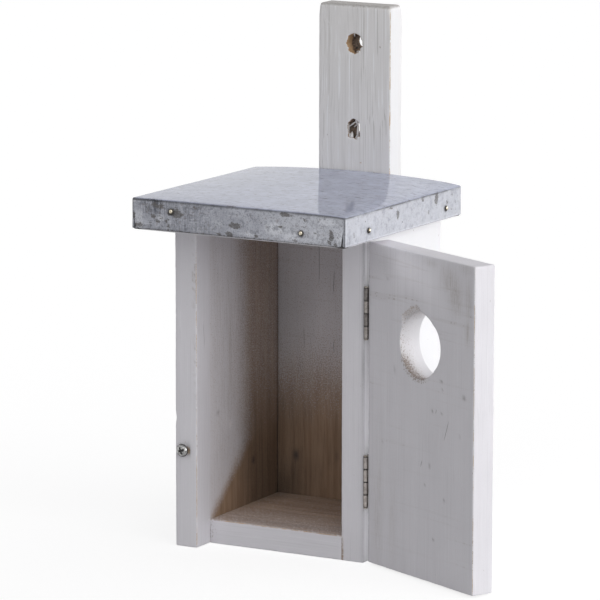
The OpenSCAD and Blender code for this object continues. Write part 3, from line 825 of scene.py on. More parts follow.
# the marks' first place is their distance from the hinge edge
doorLook = dict(
    cell=1.15, arris=0.7, wander=0.4, bow=0.1, chips=0.5, wearWidth=0.42, grain=2, seed=34,
    worn={(-1, 1, 0): 0.86, (0, 1, -1): 0.45, (-1, -1, 0): 0.3, (0, 1, 1): 0.25, (-1, 0, -1): 0.4},
    width=83.5, thickness=12.0, holeInset=41.25, holeDrop=44.0, holeRadius=16.0, holeRim=0.3,
    stains=(
        (64.0, 149.5, 6, 6, 0.5), (69.0, 142.5, 4.6, 8, 0.62), (78.0, 126.0, 2.2, 6, 0.42),
        (50.0, 155.0, 5, 1.6, 0.3), (77.0, 156.0, 5, 3, 0.3), (79.0, 141.0, 2.5, 9, 0.4),
        (46.6, 107.0, 2.2, 5.5, 0.2), (8.0, 30.0, 4, 30, 0.25), (20.0, 22.0, 3, 22, 0.18)),
    darkSpots=(
        (15.6, 142.1, 0.5, 0.5, 0.9), (22.0, 99.7, 0.6, 2.0, 0.35), (58.4, 99.6, 0.8, 0.7, 0.7),
        (59.6, 95.2, 0.6, 0.5, 0.5), (76.0, 94.8, 1.1, 0.9, 0.7), (51.4, 84.4, 0.5, 0.8, 0.7),
        (59.0, 84.4, 0.5, 0.5, 0.6), (49.4, 57.5, 0.5, 1.1, 0.6), (61.0, 42.8, 0.6, 0.8, 0.5),
        (52.6, 22.2, 0.6, 0.6, 0.6), (73.1, 75.8, 0.5, 0.5, 0.6), (45.6, 47.4, 0.45, 0.45, 0.7),
        (11.4, 62.3, 0.45, 0.45, 0.6)),
    # the last marks are painted shade where their strength is above 0 and painted light where it is below 0
    lightAndShadePatches=((12, 150, 9, 6, 0.15), (31, 151, 14, 10, -0.26), (48, 144, 12, 14, -0.14)),
    cracks=((62.5, 76.7, 6, 0.5), (51.2, 84.6, 1.5, 0.5), (49.4, 57.5, 2, 0.6)))
doorInner = leftLow[1] + doorLook["thickness"]
doorJoint = next(joint for joint in frame["joints"] if joint["child"] == "door")
hingeAt = np.array(doorJoint["pos_m"]) * perMetre
doorSwing = math.radians(-doorJoint["range_deg"][0])


def swung(points):
    # The closed door turns about the hinge's upright axis to where it stands
    turn = np.array(Matrix.Rotation(doorSwing, 3, "Z"))
    return (points - hingeAt) @ turn.T + hingeAt


def doorHoleShape(angle, depth):
    # Radius of the sawn entrance hole against angle, from up towards the hinge edge, and depth:
    # round, a little rough, flatter in two places, and broken out above on the inner face
    radius = doorLook["holeRadius"]
    ring = np.stack([np.cos(angle) * radius, np.sin(angle) * radius, depth], -1)
    rough = layeredNoise(ring, (2.2, 2.2, 4.0), 71)
    inner = np.exp(-(doorInner - depth) / 1.4)
    flatter = 0.8 * bell(angle + 0.62, 0.3) + 0.85 * np.exp((np.cos(angle + 2.35) - 1) / 0.1)
    jagged = 0.8 + 0.35 * layeredNoise(ring, 3.0, 73) + 0.3 * layeredNoise(ring, 0.9, 74)
    torn = ease(np.abs(angle - 0.5), 0.62, 0.3) * jagged + 0.3 * bell(angle - 0.13, 0.08)
    chipped = 3.5 * ease(depth, doorInner - 1.5, doorInner + 0.1)
    return radius + 0.048 * rough - flatter + 0.16 * inner * rough + chipped * torn


def dressDoor(look):
    # The door is shaped closed, as its grain and hole lie, and is swung open at the end
    low = (rightHigh[0] - look["width"], leftLow[1], doorLow[2])
    high = (rightHigh[0], doorInner, doorHigh[2])
    holeX = high[0] - look["holeInset"]
    holeZ = high[2] - look["holeDrop"]
    rim = look["holeRim"]
    lipRadius = look["holeRadius"] + rim
    hole = dict(centre=(holeX, 0, holeZ), half=12.0, reach=25.0, cell=0.85, rim=rim, shape=doorHoleShape)
    board = makeBoard(low, high, look, [hole])
    flat = board["flat"]
    inTunnel = board["inTunnel"]
    x, y, z = flat.T
    across = high[0] - x
    toInner = y - doorInner      # 0 on the inner face, and less than that in the wood
    innerFace = onFace(-toInner)
    outerFace = onFace(y - low[1])
    roundHole = innerFace * (1 - inTunnel)
    offsetX = board["points"][:, 0] - holeX
    offsetZ = board["points"][:, 2] - holeZ
    fromHole = np.hypot(offsetX, offsetZ)
    # the sawn wall of the hole is thinly painted: specks of wood show at the inner rim, mostly low down
    lowerPart = ease(offsetZ, -2, -12)
    towardsInner = ease(y, low[1] + 2, doorInner)
    tunnelCoat = 0.95 - towardsInner * (0.05 + 0.36 * lowerPart * towardsInner) - 0.1 * ease(offsetZ, 9, 15)
    board["coat"] = np.where(inTunnel, tunnelCoat, 1.0)
    lip = roundHole * bell(np.maximum(fromHole - lipRadius, 0), 1.3)
    board["coat"] -= 0.2 * lip * lowerPart * ease(offsetX, -10, 2)
    # the wood broken out above the hole is half bare, with specks along its upper edge
    chip = ease(np.abs(np.arctan2(offsetX, offsetZ) - 0.46), 0.75, 0.35) * ease(fromHole, 16.2, 17.0)
    board["coat"] -= 0.12 * chip * inTunnel * ease(toInner, -3.0, -1.6)
    rimAway = np.abs(fromHole - lipRadius - 2.6 * chip)
    besideHinge = ease(offsetX, 10, 16) * ease(np.abs(offsetZ + 1), 6, 2)
    board["specks"] = roundHole * (
        0.6 * chip * bell(rimAway, 0.9) + 1.1 * lowerPart * ease(offsetX, -12, 0) * bell(rimAway, 2.5))
    board["specks"] += inTunnel * towardsInner * (0.46 + 0.85 * lowerPart + 0.3 * besideHinge)
    board["freshAndLit"] = 0.4 * inTunnel
    # flecks along the free edge's inner arris
    flecked = ease(layeredNoise(flat, (4, 4, 9), 77), -0.3, 0.5)
    board["specks"] += 0.8 * flecked * bell(np.hypot(x - low[0], toInner), 0.9)
    marked = innerFace * bell(toInner, 4)
    board["grime"] = marked * strongest(*bellMarks(look["stains"], across, z))
    board["knot"] = marked * strongest(*bellMarks(look["darkSpots"], across, z))
    # thin curved cracks in the paint
    addCracks(board, across - 0.35 * (z - 76.5), z, look["cracks"], 79)
    board["crackDepth"] *= innerFace
    # saw marks on both broad faces, painted shade along the arris at the hinges and under the roof, darker
    # low in the hole, and painted light and shade in patches near the top
    board["sawn"] = 1.2 * strongest(innerFace, outerFace) * (1 - inTunnel) * (0.3 + 0.7 * ease(z, 100, 150))
    board["soilAndShade"] = 0.34 * bell(np.hypot(across, toInner), 0.8) + 0.03 * innerFace * ease(z, 100, 158)
    board["soilAndShade"] += 0.3 * inTunnel * lowerPart * ease(toInner, -6.5, -0.5)
    board["soilAndShade"] += marked * sum(bellMarks(look["lightAndShadePatches"], across, z))
    finishBoard("doorBoard", board, plainWood, "door", "door_panel", swung)


dressDoor(doorLook)
print("door made")

# stains, pale marks and painted highlights of the zinc sheet are (place along the edge, drop below the top,
# half width, half height, strength)
sheetLook = dict(
    thickness=0.6, fold=0.9, height=14.8, crown=2.4, rollRight=0.62, rollLeft=0.08, rollWidth=4.0,
    cell=1.15, flangeCell=0.75, wave=0.05, dents=0.16, dimple=0.22, slitIn=1.2, slitWidth=1.2, slitHeight=7.5,
    tabLap=0.2, tabWidth=6.7, tabTop=5.55, seed=45,
    frontStains=(
        (-43.0, 3.0, 7.0, 1.8, 0.42), (-47.0, 5.0, 2.5, 2.6, 0.36), (-31.5, 6.0, 3.6, 2.6, 0.75),
        (-36.0, 6.6, 1.2, 1.4, 0.6), (-36.5, 11.5, 1.4, 3.4, 0.45), (-44.6, 8.2, 1.5, 1.2, 0.8),
        (-42.2, 10.6, 1.2, 1.0, 0.8), (-40.0, 9.0, 0.8, 0.7, 0.7), (-55.2, 8.6, 1.1, 2.6, 0.55),
        (-52.6, 13.0, 3.0, 1.6, 0.6), (-46.0, 12.0, 1.2, 1.2, 0.35), (0.4, 9.3, 3.0, 1.5, 0.9),
        (-2.8, 13.4, 1.8, 1.3, 0.75), (27.8, 1.9, 3.6, 0.9, 0.8), (1.6, 4.4, 0.7, 0.6, 0.7),
        (11.0, 4.2, 0.6, 1.4, 0.5), (-21.0, 2.2, 5.0, 0.9, 0.4), (52.4, 9.4, 1.3, 3.0, 0.75),
        (51.2, 13.0, 1.4, 1.2, 0.7), (38.2, 3.6, 0.9, 0.7, 0.7), (26.5, 1.4, 1.6, 0.7, 0.7),
        (44.0, 9.0, 0.9, 0.8, 0.6), (17.5, 8.2, 1.0, 0.8, 0.55), (12.0, 13.4, 1.4, 1.0, 0.6),
        (-9.0, 13.8, 1.6, 0.8, 0.6), (25.0, 7.6, 1.3, 1.1, 0.55), (33.0, 13.6, 2.0, 0.9, 0.55),
        (54.6, 13.4, 1.2, 1.2, 0.6), (37.0, 7.0, 5.5, 0.5, 0.35)),
    rightStains=(
        (-71.0, 10.0, 0.8, 1.6, 0.5), (-66.5, 3.4, 0.8, 1.0, 0.4), (-60.0, 4.6, 0.8, 0.8, 0.45),
        (-54.0, 12.0, 0.8, 1.2, 0.35), (-34.0, 1.6, 2.2, 0.7, 0.6), (-27.0, 5.4, 1.6, 2.4, 0.75),
        (-38.0, 9.6, 0.9, 1.2, 0.5), (-22.0, 10.0, 1.0, 1.0, 0.45), (-1.0, 2.0, 1.4, 1.6, 0.6),
        (13.5, 3.4, 2.0, 3.2, 0.7), (5.0, 9.0, 1.1, 1.4, 0.5), (25.0, 6.4, 1.2, 1.6, 0.6),
        (30.0, 3.2, 1.0, 1.2, 0.55), (34.0, 7.6, 1.0, 1.2, 0.5), (29.5, 10.4, 0.8, 1.0, 0.5),
        (-46.0, 7.0, 0.6, 3.0, 0.3)),
    paleMarksAndHighlights=(
        (49.5, 3.6, 8.0, 2.0, 1.05), (31.0, 12.0, 6.0, 2.4, 1.0), (22.0, 9.0, 6.5, 4.0, 1.0),
        (8.0, 12.6, 3.0, 1.6, 0.8), (37.0, 6.0, 5.0, 2.2, 0.5), (-40.5, 8.6, 2.6, 2.0, 0.85),
        (-9.0, 8.6, 7.0, 3.6, 0.45), (4.0, 12.6, 3.4, 1.2, 0.55), (-57.0, 3.0, 0.9, 1.2, 0.7),
        (-55.4, 1.7, 2.6, 0.6, 1.0), (44.0, 10.0, 4.5, 4.0, 0.7), (56.4, 10.2, 1.6, 3.6, 1.2),
        (30.0, 12.0, 8.0, 1.2, 0.5), (-20.0, 12.0, 6.0, 2.0, 0.4)))


def sheetTop(x, y):
    # Height of the sheet's top without its waves, then the crown in it, and the waves. The crown grows
    # towards the middle of the back edge, less a soft roll-off that fades exponentially inwards from the
    # left and right edges.
    middle = (sheetLow[0] + sheetHigh[0]) / 2
    half = (sheetHigh[0] - sheetLow[0]) / 2
    side = (x - middle) / half
    along = np.clip((y - sheetLow[1]) / (sheetHigh[1] - sheetLow[1]), 0, 1)
    crown = sheetLook["crown"] * (1 - np.clip(side ** 2, 0, 1)) * along ** 0.55
    roll = np.where(side > 0, sheetLook["rollRight"], sheetLook["rollLeft"])
    crown = crown - roll * np.exp(-half * (1 - np.abs(side)) / sheetLook["rollWidth"])
    wave = sheetLook["wave"] * layeredNoise(np.stack([x, y, 0 * x], -1), 34, sheetLook["seed"])
    return roofUnder(y) + sheetLook["height"] + sheetLook["thickness"] + crown, crown, wave


pinLook = dict(headRadius=1.35, headHeight=1.08, shankRadius=0.55, shankLength=10)
roofPinSides = dict(front=(0, -1, 0), back=(0, 1, 0), left=(-1, 0, 0), right=(1, 0, 0))


def pinPlaces(side):
    # Where the two pins of one side enter the sheet. A node's box reaches from the tips of the shanks to
    # the tops of the heads.
    outward = np.array(roofPinSides[side])
    pinNode = frame["nodes"]["roof_pins_" + side]
    corners = np.array([vertex.co[:] for vertex in pinNode.data.vertices]) * perMetre
    axis = 0 if outward[0] == 0 else 1
    middle = (corners[:, axis].min() + corners[:, axis].max()) / 2
    halves = (corners[corners[:, axis] < middle], corners[corners[:, axis] > middle])
    inwards = (pinLook["shankLength"] - pinLook["headHeight"]) / 2
    return [(half.min(axis=0) + half.max(axis=0)) / 2 + outward * inwards for half in halves]


pinsOf = {side: pinPlaces(side) for side in roofPinSides}
allPins = [place for places in pinsOf.values() for place in places]


def rimColumns(alongX, alongY, slits):
    # Columns round the outline of the flat, one row each: place (2), outward direction (2), and the way in
    # which the slit moves it. At each slit two columns share a place, and one of them moves.
    low = np.array((alongX[0], alongY[0]))
    high = np.array((alongX[-1], alongY[-1]))
    slitX = np.concatenate([[low[0], slits[0]], alongX[1:-1], [slits[1], high[0]]])
    slitMove = np.zeros(len(slitX))
    slitMove[2] = 1
    slitMove[-3] = -1
    frontRow = np.stack([slitX, np.full(len(slitX), low[1]), slitMove], -1)
    rightRow = np.stack([np.full(len(alongY), high[0]), alongY, 0 * alongY], -1)
    turns = np.linspace(0, math.pi / 2, 6)
    columns = []
    for side, row in enumerate((frontRow, rightRow, frontRow, rightRow)):
        start = (side - 1) * math.pi / 2
        if side >= 2:
            row = np.concatenate([low + high - row[:, :2], -row[:, 2:]], axis=1)
        corner = np.tile(row[-1], (len(turns) - 2, 1))
        angles = np.concatenate([np.full(len(row), start), start + turns[1:-1]])
        places = np.concatenate([row, corner])
        x, y, moves = places.T
        columns.append(np.stack([x, y, np.cos(angles), np.sin(angles), moves], -1))
    return np.concatenate(columns)


def sheetMesh(look):
    # The flat is a grid. The rim is a second grid: its columns go round the outline of the flat, and its
    # rows go outwards and down through a quarter round and then down the upright edge. Beside each corner of
    # the front and back edges two columns part towards the foot, which leaves the folded corner's slit.
    inset = look["fold"]
    low = sheetLow[:2] + inset
    high = sheetHigh[:2] - inset
    slits = (sheetLow[0] + look["slitIn"], sheetHigh[0] - look["slitIn"])
    alongX = np.concatenate([[low[0]], evenStops(slits[0], slits[1], look["cell"]), [high[0]]])
    alongY = evenStops(low[1], high[1], look["cell"])
    gridX, gridY = np.meshgrid(alongX, alongY, indexing="ij")
    height, crown, wave = sheetTop(gridX.ravel(), gridY.ravel())
    flat = np.stack([gridX.ravel(), gridY.ravel(), height + wave], -1)
    columns = rimColumns(alongX, alongY, slits)
    bends = np.linspace(0, math.pi / 2, 6)
    upright = np.arange(inset + look["flangeCell"], look["height"] - 0.1, look["flangeCell"])
    drops = np.concatenate([inset * (1 - np.cos(bends)), upright, [look["height"]]])
    outs = np.concatenate([inset * np.sin(bends), np.full(len(upright) + 1, inset)])
    place = columns[:, None, :2] + columns[:, None, 2:4] * outs[:, None]
    top, crown, wave = sheetTop(columns[:, 0], columns[:, 1])
    fallTo = roofUnder(place[..., 1]) - roofUnder(columns[:, 1])[:, None]
    z = top[:, None] - drops + fallTo - crown[:, None] * drops / look["height"]
    z = z + wave[:, None] * (1 - ease(drops, inset, look["height"]))
    rim = np.concatenate([place, z[..., None]], axis=-1)
    opening = look["slitWidth"] * np.clip(1 - (look["height"] - drops) / look["slitHeight"], 0, 1)
    rim[..., 0] += columns[:, None, 4] * opening
    # no cells between the two columns of a slit: they share a place, and one of them moves
    after = np.roll(columns, -1, axis=0)
    slit = ((columns[:, 4] != 0) != (after[:, 4] != 0)) & (columns[:, 0] == after[:, 0])
    rimCells = cellsOf(rim.shape[:2], loop=0)[..., [0, 3, 2, 1]][~slit]
    # dents in the edge, dimples round the pins and the lapped tabs at the corners
    rim = rim.reshape(-1, 3)
    outward = np.repeat(np.pad(columns[:, 2:4], ((0, 0), (0, 1))), len(drops), axis=0)
    down = np.tile(drops, len(columns))
    fromEdge = np.minimum(np.abs(rim[:, 0] - sheetLow[0]), np.abs(rim[:, 0] - sheetHigh[0]))
    tab = ease(fromEdge, look["tabWidth"] + 0.3, look["tabWidth"] - 0.3) * (np.abs(outward[:, 1]) > 0.99)
    tab = tab * ease(down, look["tabTop"] - 0.35, look["tabTop"] + 0.35)
    tab = tab * (fromEdge > look["slitIn"] + 0.1)
    depth = look["dents"] * layeredNoise(rim, (13, 13, 9), look["seed"] + 5) * ease(down, inset, inset + 3)
    for pin in allPins:
        depth -= look["dimple"] * bell(np.linalg.norm(rim - pin, axis=1), 2.3)
    rim = rim + outward * (depth + look["tabLap"] * tab)[:, None]
    points, quads = joined([(flat, cellsOf(gridX.shape)), (rim, rimCells)])
    none = np.zeros(len(flat))
    return dict(
        points=points, quads=quads, onTop=np.concatenate([none + 1, ease(down, 0.9, 0.2)]),
        down=np.concatenate([none, down]), onTab=np.concatenate([none, tab]),
        facing=np.concatenate([np.zeros((len(flat), 3)), outward]))


def sheetLayers(sheet, look):
    # Amounts of stain, pale metal and painted highlight, brush marks and painted shade at each point, for the
    # finish to break up
    points = sheet["points"]
    down = sheet["down"]
    x, y = points[:, :2].T
    frontSide = ease(sheet["facing"][:, 1], -0.9, -0.99)
    rightSide = ease(sheet["facing"][:, 0], 0.9, 0.99)
    # pale marks and painted highlights: on the tabs, over the lit right-hand edge, along the front edge's
    # right part, in a line at the right edge's foot and at its front end
    bright = strongest(
        frontSide * strongest(*bellMarks(look["paleMarksAndHighlights"], x, down)), 0.55 * sheet["onTab"],
        0.44 * rightSide * (1 - sheet["onTop"]), 0.5 * frontSide * ease(x, -6, 30),
        0.7 * rightSide * ease(down, look["height"] - 0.9, look["height"] - 0.4),
        0.9 * rightSide * ease(y, sheetLow[1] + 2.6, sheetLow[1] + 0.6))
    brush = frontSide * strongest(bell(x + 43.5, 7.5) * ease(down, 11, 4), 0.45 * bell(x + 26, 15))
    # painted shade along the folds, in the corner slits, at the foot of the upright edges and in a ring round
    # each pin
    fromEdge = np.minimum(np.abs(x - sheetLow[0]), np.abs(x - sheetHigh[0]))
    patchy = 0.86 + 0.4 * layeredNoise(points, 6, 83)
    fold = patchy * bell(down - 0.62, 0.42) * (down > 0)
    corner = 0.95 * np.abs(sheet["facing"][:, 1]) * bell(fromEdge - 0.35, 0.42) * ease(down, 0.3, 0.9)
    foot = ease(down, look["height"] - 0.8, look["height"] - 0.1) * (1 - rightSide)
    crease = strongest(fold, corner, 0.5 * foot)
    for pin in allPins:
        # more of it below and to the left of the pin, as its painted shadow
        away = np.linalg.norm(points - pin + (0.2, 0, 0.25), axis=1)
        crease = strongest(crease, 0.8 * bell(np.maximum(away - pinLook["headRadius"], 0), 0.55))
    # stains, with a little more painted shade at the foot
    stain = strongest(
        frontSide * strongest(*bellMarks(look["frontStains"], x, down)),
        rightSide * strongest(*bellMarks(look["rightStains"], y, down)), 0.4 * foot)
    return dict(
        stain=stain, bright=bright, brush=brush, onTop=sheet["onTop"], crease=crease, calm=rightSide)


# the top's flat tones are lighter and bluer than the edges' side tones, as painted reflection; the darkest
# tone is painted shade for the creases
zincTones = dict(
    side=(tint(171, 173, 182), tint(191, 193, 202)), flat=(tint(182, 187, 207), tint(195, 200, 221)),
    pale=tint(224, 226, 233), cloud=tint(122, 124, 132), mottle=tint(112, 114, 122), brush=tint(72, 75, 84),
    stain=tint(102, 99, 97), spots=tint(132, 124, 122), scratch=tint(116, 106, 100),
    lightScratch=tint(222, 225, 232), dirt=tint(62, 61, 61))


def zincFinish(name, tones):
    # Dull galvanised sheet: oxide over bare metal, with crystals, clouds, scratches, crisp stains and spots,
    # and painted highlights, painted reflection and painted shade
    make = finishNamed(name)
    where = make.place()
    top = make.attribute("onTop")
    crease = make.attribute("crease")
    brush = make.attribute("brush")
    calm = make.larger(top, make.attribute("calm"))
    cloud = make.noise(where, 0.11, 5, 0.62)
    patch = make.noise(where, 0.36, 5, 0.68, shift=(11, 5, 3))
    fine = make.noise(where, 1.7, 3, 0.65)
    cellPlace = make.turned(where, (0.22, 0.22, 0.22))
    cells = make.add("TexVoronoi", {"Vector": cellPlace, "Scale": 1.0}, feature="F1")
    crystal = make.add("SeparateColor", {0: cells.outputs["Color"]}).outputs[0]
    # the top takes the lighter, bluer tones, as painted reflection
    side = make.blend(make.spread(cloud, 0.3, 0.7), *tones["side"])
    flat = make.blend(make.spread(cloud, 0.3, 0.7), *tones["flat"])
    colour = make.shade(make.blend(top, side, flat), make.spread(crystal, 0.0, 1.0, 0.95, 1.05))
    # pale marks and painted highlights, and dark clouds
    ragged = make.times(make.less(patch, 0.5), 1.5)
    pale = make.spread(make.plus(make.attribute("bright"), ragged), 0.2, 0.75)
    colour = make.blend(make.times(pale, make.spread(top, 0.0, 1.0, 0.75, 0.0)), colour, tones["pale"])
    clouds = make.times(make.spread(patch, 0.5, 0.62), make.spread(calm, 0.0, 1.0, 0.55, 0.2))
    colour = make.blend(clouds, colour, tones["cloud"])
    mottle = make.times(make.spread(fine, 0.52, 0.66), make.spread(calm, 0.0, 1.0, 0.5, 0.08))
    colour = make.blend(mottle, colour, tones["mottle"])
    # brush marks, upright and level
    upright = make.noise(where, (2.3, 2.3, 0.16), 3, 0.6)
    uprightLines = make.times(make.spread(upright, 0.44, 0.56), brush)
    colour = make.blend(make.times(uprightLines, 0.8), colour, tones["brush"])
    level = make.noise(where, (0.2, 0.2, 2.4), 3, 0.6, shift=(2, 6, 8))
    levelLines = make.times(make.spread(level, 0.5, 0.6), brush)
    colour = make.blend(make.times(levelLines, 0.42), colour, tones["brush"])
    # stains have crisp ragged outlines
    crisp = make.times(make.less(make.plus(patch, fine), 1.0), 0.9)
    stained = make.spread(make.plus(make.attribute("stain"), crisp), 0.27, 0.38)
    stained = make.times(stained, make.spread(fine, 0.3, 0.6, 0.6, 0.85))
    colour = make.blend(stained, colour, tones["stain"])
    spots = make.spread(make.noise(where, 0.62, shift=(3, 9, 1)), 0.63, 0.68)
    colour = make.blend(make.times(spots, make.spread(calm, 0.0, 1.0, 0.42, 0.22)), colour, tones["spots"])
    # short brown scratches run along the front edge on the top, fainter ones on the turned-down edges
    scratch = make.noise(where, (0.13, 0.75, 0.75), 3, 0.6, turn=(0, 0, 0.06))
    scratched = make.times(make.spread(scratch, 0.585, 0.64), make.spread(patch, 0.42, 0.56, 0.2, 1.0))
    scratched = make.times(scratched, make.spread(top, 0.0, 1.0, 0.2, 0.62))
    colour = make.blend(scratched, colour, tones["scratch"])
    lightScratch = make.noise(where, (0.09, 1.1, 1.1), 2, 0.6, turn=(0, 0, 0.03), shift=(7, 2, 5))
    colour = make.blend(make.spread(lightScratch, 0.62, 0.68, 0.0, 0.25), colour, tones["lightScratch"])
    # painted shade in the creases
    colour = make.blend(make.times(crease, 0.85), colour, tones["dirt"])
    # the top is smoother than the sides, and the stains and the creases' painted shade are rough and dull
    rough = make.less(make.spread(patch, 0.3, 0.75, 0.15, 0.27), make.times(top, 0.13))
    rough = make.plus(rough, make.times(make.plus(stained, crease), 0.3))
    metal = make.times(make.less(1.0, crease), make.spread(top, 0.0, 1.0, 0.2, 0.12))
    height = make.plus(make.times(patch, 0.5), make.times(fine, 0.25))
    return make.done(colour, rough, height, 0.016, metal, gloss=0.06)


def dressSheet(look):
    # The mesh is the sheet's outer face; its thickness goes inwards
    sheet = sheetMesh(look)
    mesh = makeMesh("roofSheet", sheet["points"], sheet["quads"], sheetLayers(sheet, look), weld=True)
    zinc = zincFinish("dullZincSheet", zincTones)
    piece = addPiece("roofSheet", mesh, zinc, "box", "roof_sheet")
    shell = piece.modifiers.new("sheetThickness", "SOLIDIFY")
    shell.thickness = look["thickness"] / perMetre
    shell.offset = -1


dressSheet(sheetLook)
print("roof sheet made")


# fine grains of dirt, and the dark of a barrel's painted shade and of its joints
ironDirtAndShade = dict(grains=tint(60, 54, 48), barrel=tint(34, 30, 27))


def metalFinish(name, light, dark, rough, stained, metal=0.9, barrel=None):
    # Small plated steel parts: colour drifts between two tones, with dirt in fine grains. On a hinge barrel
    # (outward direction, amount of painted shade, lowest height, knuckle height), faces that turn away from
    # the outward direction get painted shade, and the joints between knuckles are dark.
    make = finishNamed(name)
    where = make.place()
    drift = make.noise(where, 0.5, 3, 0.6)
    grain = make.noise(where, 3.5, 3, 0.6)
    colour = make.blend(make.spread(drift, 0.3, 0.7), light, dark)
    colour = make.blend(make.spread(grain, 0.5, 0.7, 0.0, stained), colour, ironDirtAndShade["grains"])
    if barrel:
        outward, dirt, lowest, knuckle = barrel
        normal = make.add("TexCoord", {}).outputs["Normal"]
        towards = make.add("VectorMath", {0: normal, 1: outward}, operation="DOT_PRODUCT").outputs["Value"]
        height = make.add("SeparateXYZ", {0: where}).outputs["Z"]
        steps = make.calc("DIVIDE", make.less(height, lowest), knuckle)
        joint = make.spread(make.calc("PINGPONG", steps, 0.5), 0.03, 0.075, 1.0, 0.0)
        shadedAndGrimy = make.larger(make.spread(towards, 0.58, 0.24, 0.0, dirt), joint)
        colour = make.blend(shadedAndGrimy, colour, ironDirtAndShade["barrel"])
        metal = make.times(make.less(1.0, shadedAndGrimy), metal)
    roughness = make.spread(grain, 0.3, 0.7, rough, rough + 0.18)
    return make.done(colour, roughness, grain, 0.03, metal)


hingeLook = dict(
    knuckles=4, barrelOut=(0.5, -0.866, 0.0), barrelShade=0.55,
    upper=dict(
        frame_leaf=(tint(154, 149, 146), tint(122, 116, 112)),
        door_leaf=(tint(126, 121, 119), tint(90, 86, 84))),
    lower=dict(
        frame_leaf=(tint(170, 164, 160), tint(138, 131, 127)),
        door_leaf=(tint(162, 156, 153), tint(128, 122, 119))))


def giveMetal(nodeName, metal):
    # The node's own solid is kept, and its material becomes the given one
    materials = frame["nodes"][nodeName].data.materials
    materials.clear()
    materials.append(metal)


def dressHinges(look):
    # Every leaf has steel of its own, since the knuckles of each hinge start at its own height
    for hinge in ("upper", "lower"):
        low, high = boxOf(hinge + "_hinge_frame_leaf")
        knuckle = (high[2] - low[2]) / look["knuckles"]
        barrel = (look["barrelOut"], look["barrelShade"], float(low[2]), float(knuckle))
        for leaf, (light, dark) in look[hinge].items():
            name = hinge + "_hinge_" + leaf
            giveMetal(name, metalFinish(name + "Steel", light, dark, 0.3, 0.45, barrel=barrel))


dressHinges(hingeLook)


def turnedPin(centre, outward, profile, sides, cross=None):
    # A profile, pairs of radius and height above the surface, is carried round the outward axis. A cross
    # recess lowers the points whose place along either of its two arms lies within its length and width.
    outward = np.array(outward, float)
    sideways = np.cross((0, 0, 1), outward)
    radius, rise = np.array(profile).T
    angle = np.linspace(0, 2 * math.pi, sides, endpoint=False)
    u = radius[:, None] * np.cos(angle)
    v = radius[:, None] * np.sin(angle)
    above = np.repeat(rise[:, None], sides, axis=1)
    sunk = np.zeros_like(u)
    if cross:
        turn = math.radians(cross["turn"])
        a = u * math.cos(turn) + v * math.sin(turn)
        b = v * math.cos(turn) - u * math.sin(turn)
        for along, over in ((a, b), (b, a)):
            arm = ease(np.abs(along), cross["reach"] + 0.05, cross["reach"] - 0.25)
            slot = ease(np.abs(over), cross["width"] / 2 + 0.22, cross["width"] / 2 - 0.05)
            sunk = strongest(sunk, arm * slot * (1 - 0.45 * np.abs(along) / cross["reach"]))
        sunk = sunk * (above > 0.1)
        above = above - cross["depth"] * sunk
    grid = np.array(centre) + u[..., None] * sideways + above[..., None] * outward
    grid[..., 2] += v
    reach = np.repeat(radius, sides)
    return grid, dict(reach=reach, sunk=sunk.ravel(), rise=np.repeat(rise, sides))


def domeProfile(look, proud, shankLength):
    # From the tip of the shank out to the head's rim and over its top, a sphere's cap softened at the rim
    radius = look["headRadius"]
    height = look["headHeight"]
    shank = look["shankRadius"]
    ball = (radius ** 2 + height ** 2) / (2 * height)
    cap = np.linspace(radius - 0.08, 0, 26)
    top = proud + height - ball + np.sqrt(ball ** 2 - cap ** 2)
    stem = [(0, -shankLength), (shank, -shankLength), (shank, proud)]
    rim = [(radius - 0.1, proud), (radius, proud + 0.06), (radius, proud + 0.12)]
    return stem + rim + [(out, max(up, proud + 0.14)) for out, up in zip(cap, top)]


def headSteel(name, light, dark, dirt):
    # Bright steel of a domed head: painted shade at the rim and in the recess, and a blotchy film over the
    # rest
    make = finishNamed(name)
    film = make.noise(make.place(), 1.6, 3, 0.6)
    colour = make.blend(make.spread(film, 0.35, 0.65), light, dark)
    shadedAndGrimy = make.plus(make.attribute("dirt"), make.times(make.less(film, 0.5), 0.8))
    shadedAndGrimy = make.spread(shadedAndGrimy, 0.3, 0.75)
    colour = make.blend(make.times(shadedAndGrimy, 0.94), colour, dirt)
    metal = make.calc("MULTIPLY_ADD", shadedAndGrimy, -0.8, 0.95)
    return make.done(colour, make.spread(shadedAndGrimy, 0.0, 1.0, 0.16, 0.6), film, 0.03, metal)


latchLook = dict(headHeight=2.2, headRadius=3.2, shankRadius=1.6, turn=20, reach=1.9, width=0.74, depth=1.3)


def dressLatch(look):
    # A pan-head screw that stands proud of the left wall's front edge
    surface = leftLow[1]
    proud = surface - latchLow[1] - look["headHeight"]
    profile = domeProfile(look, proud, latchHigh[1] - surface)
    grid, parts = turnedPin((latchX, surface, latchZ), (0, -1, 0), profile, 96, look)
    points, quads = joined([(grid, cellsOf(grid.shape[:2], loop=1))])
    # painted shade at the rim, in the recess, under the head and on the lower left of the dome
    lowerLeft = (points[:, 0] - latchX) * -0.8 + (points[:, 2] - latchZ) * -0.6
    dirt = strongest(
        0.95 * ease(parts["reach"], 2.75, 3.1), 1.1 * parts["sunk"], 1.0 * (parts["rise"] < proud + 0.1),
        0.5 * ease(lowerLeft, 0.2, 2.6))
    steel = headSteel("brightLatchSteel", tint(168, 168, 168), tint(112, 111, 110), tint(44, 42, 40))
    mesh = makeMesh("latchScrew", points, quads, dict(dirt=dirt), weld=True)
    addPiece("latchScrew", mesh, steel, "box", "latch_screw")


dressLatch(latchLook)


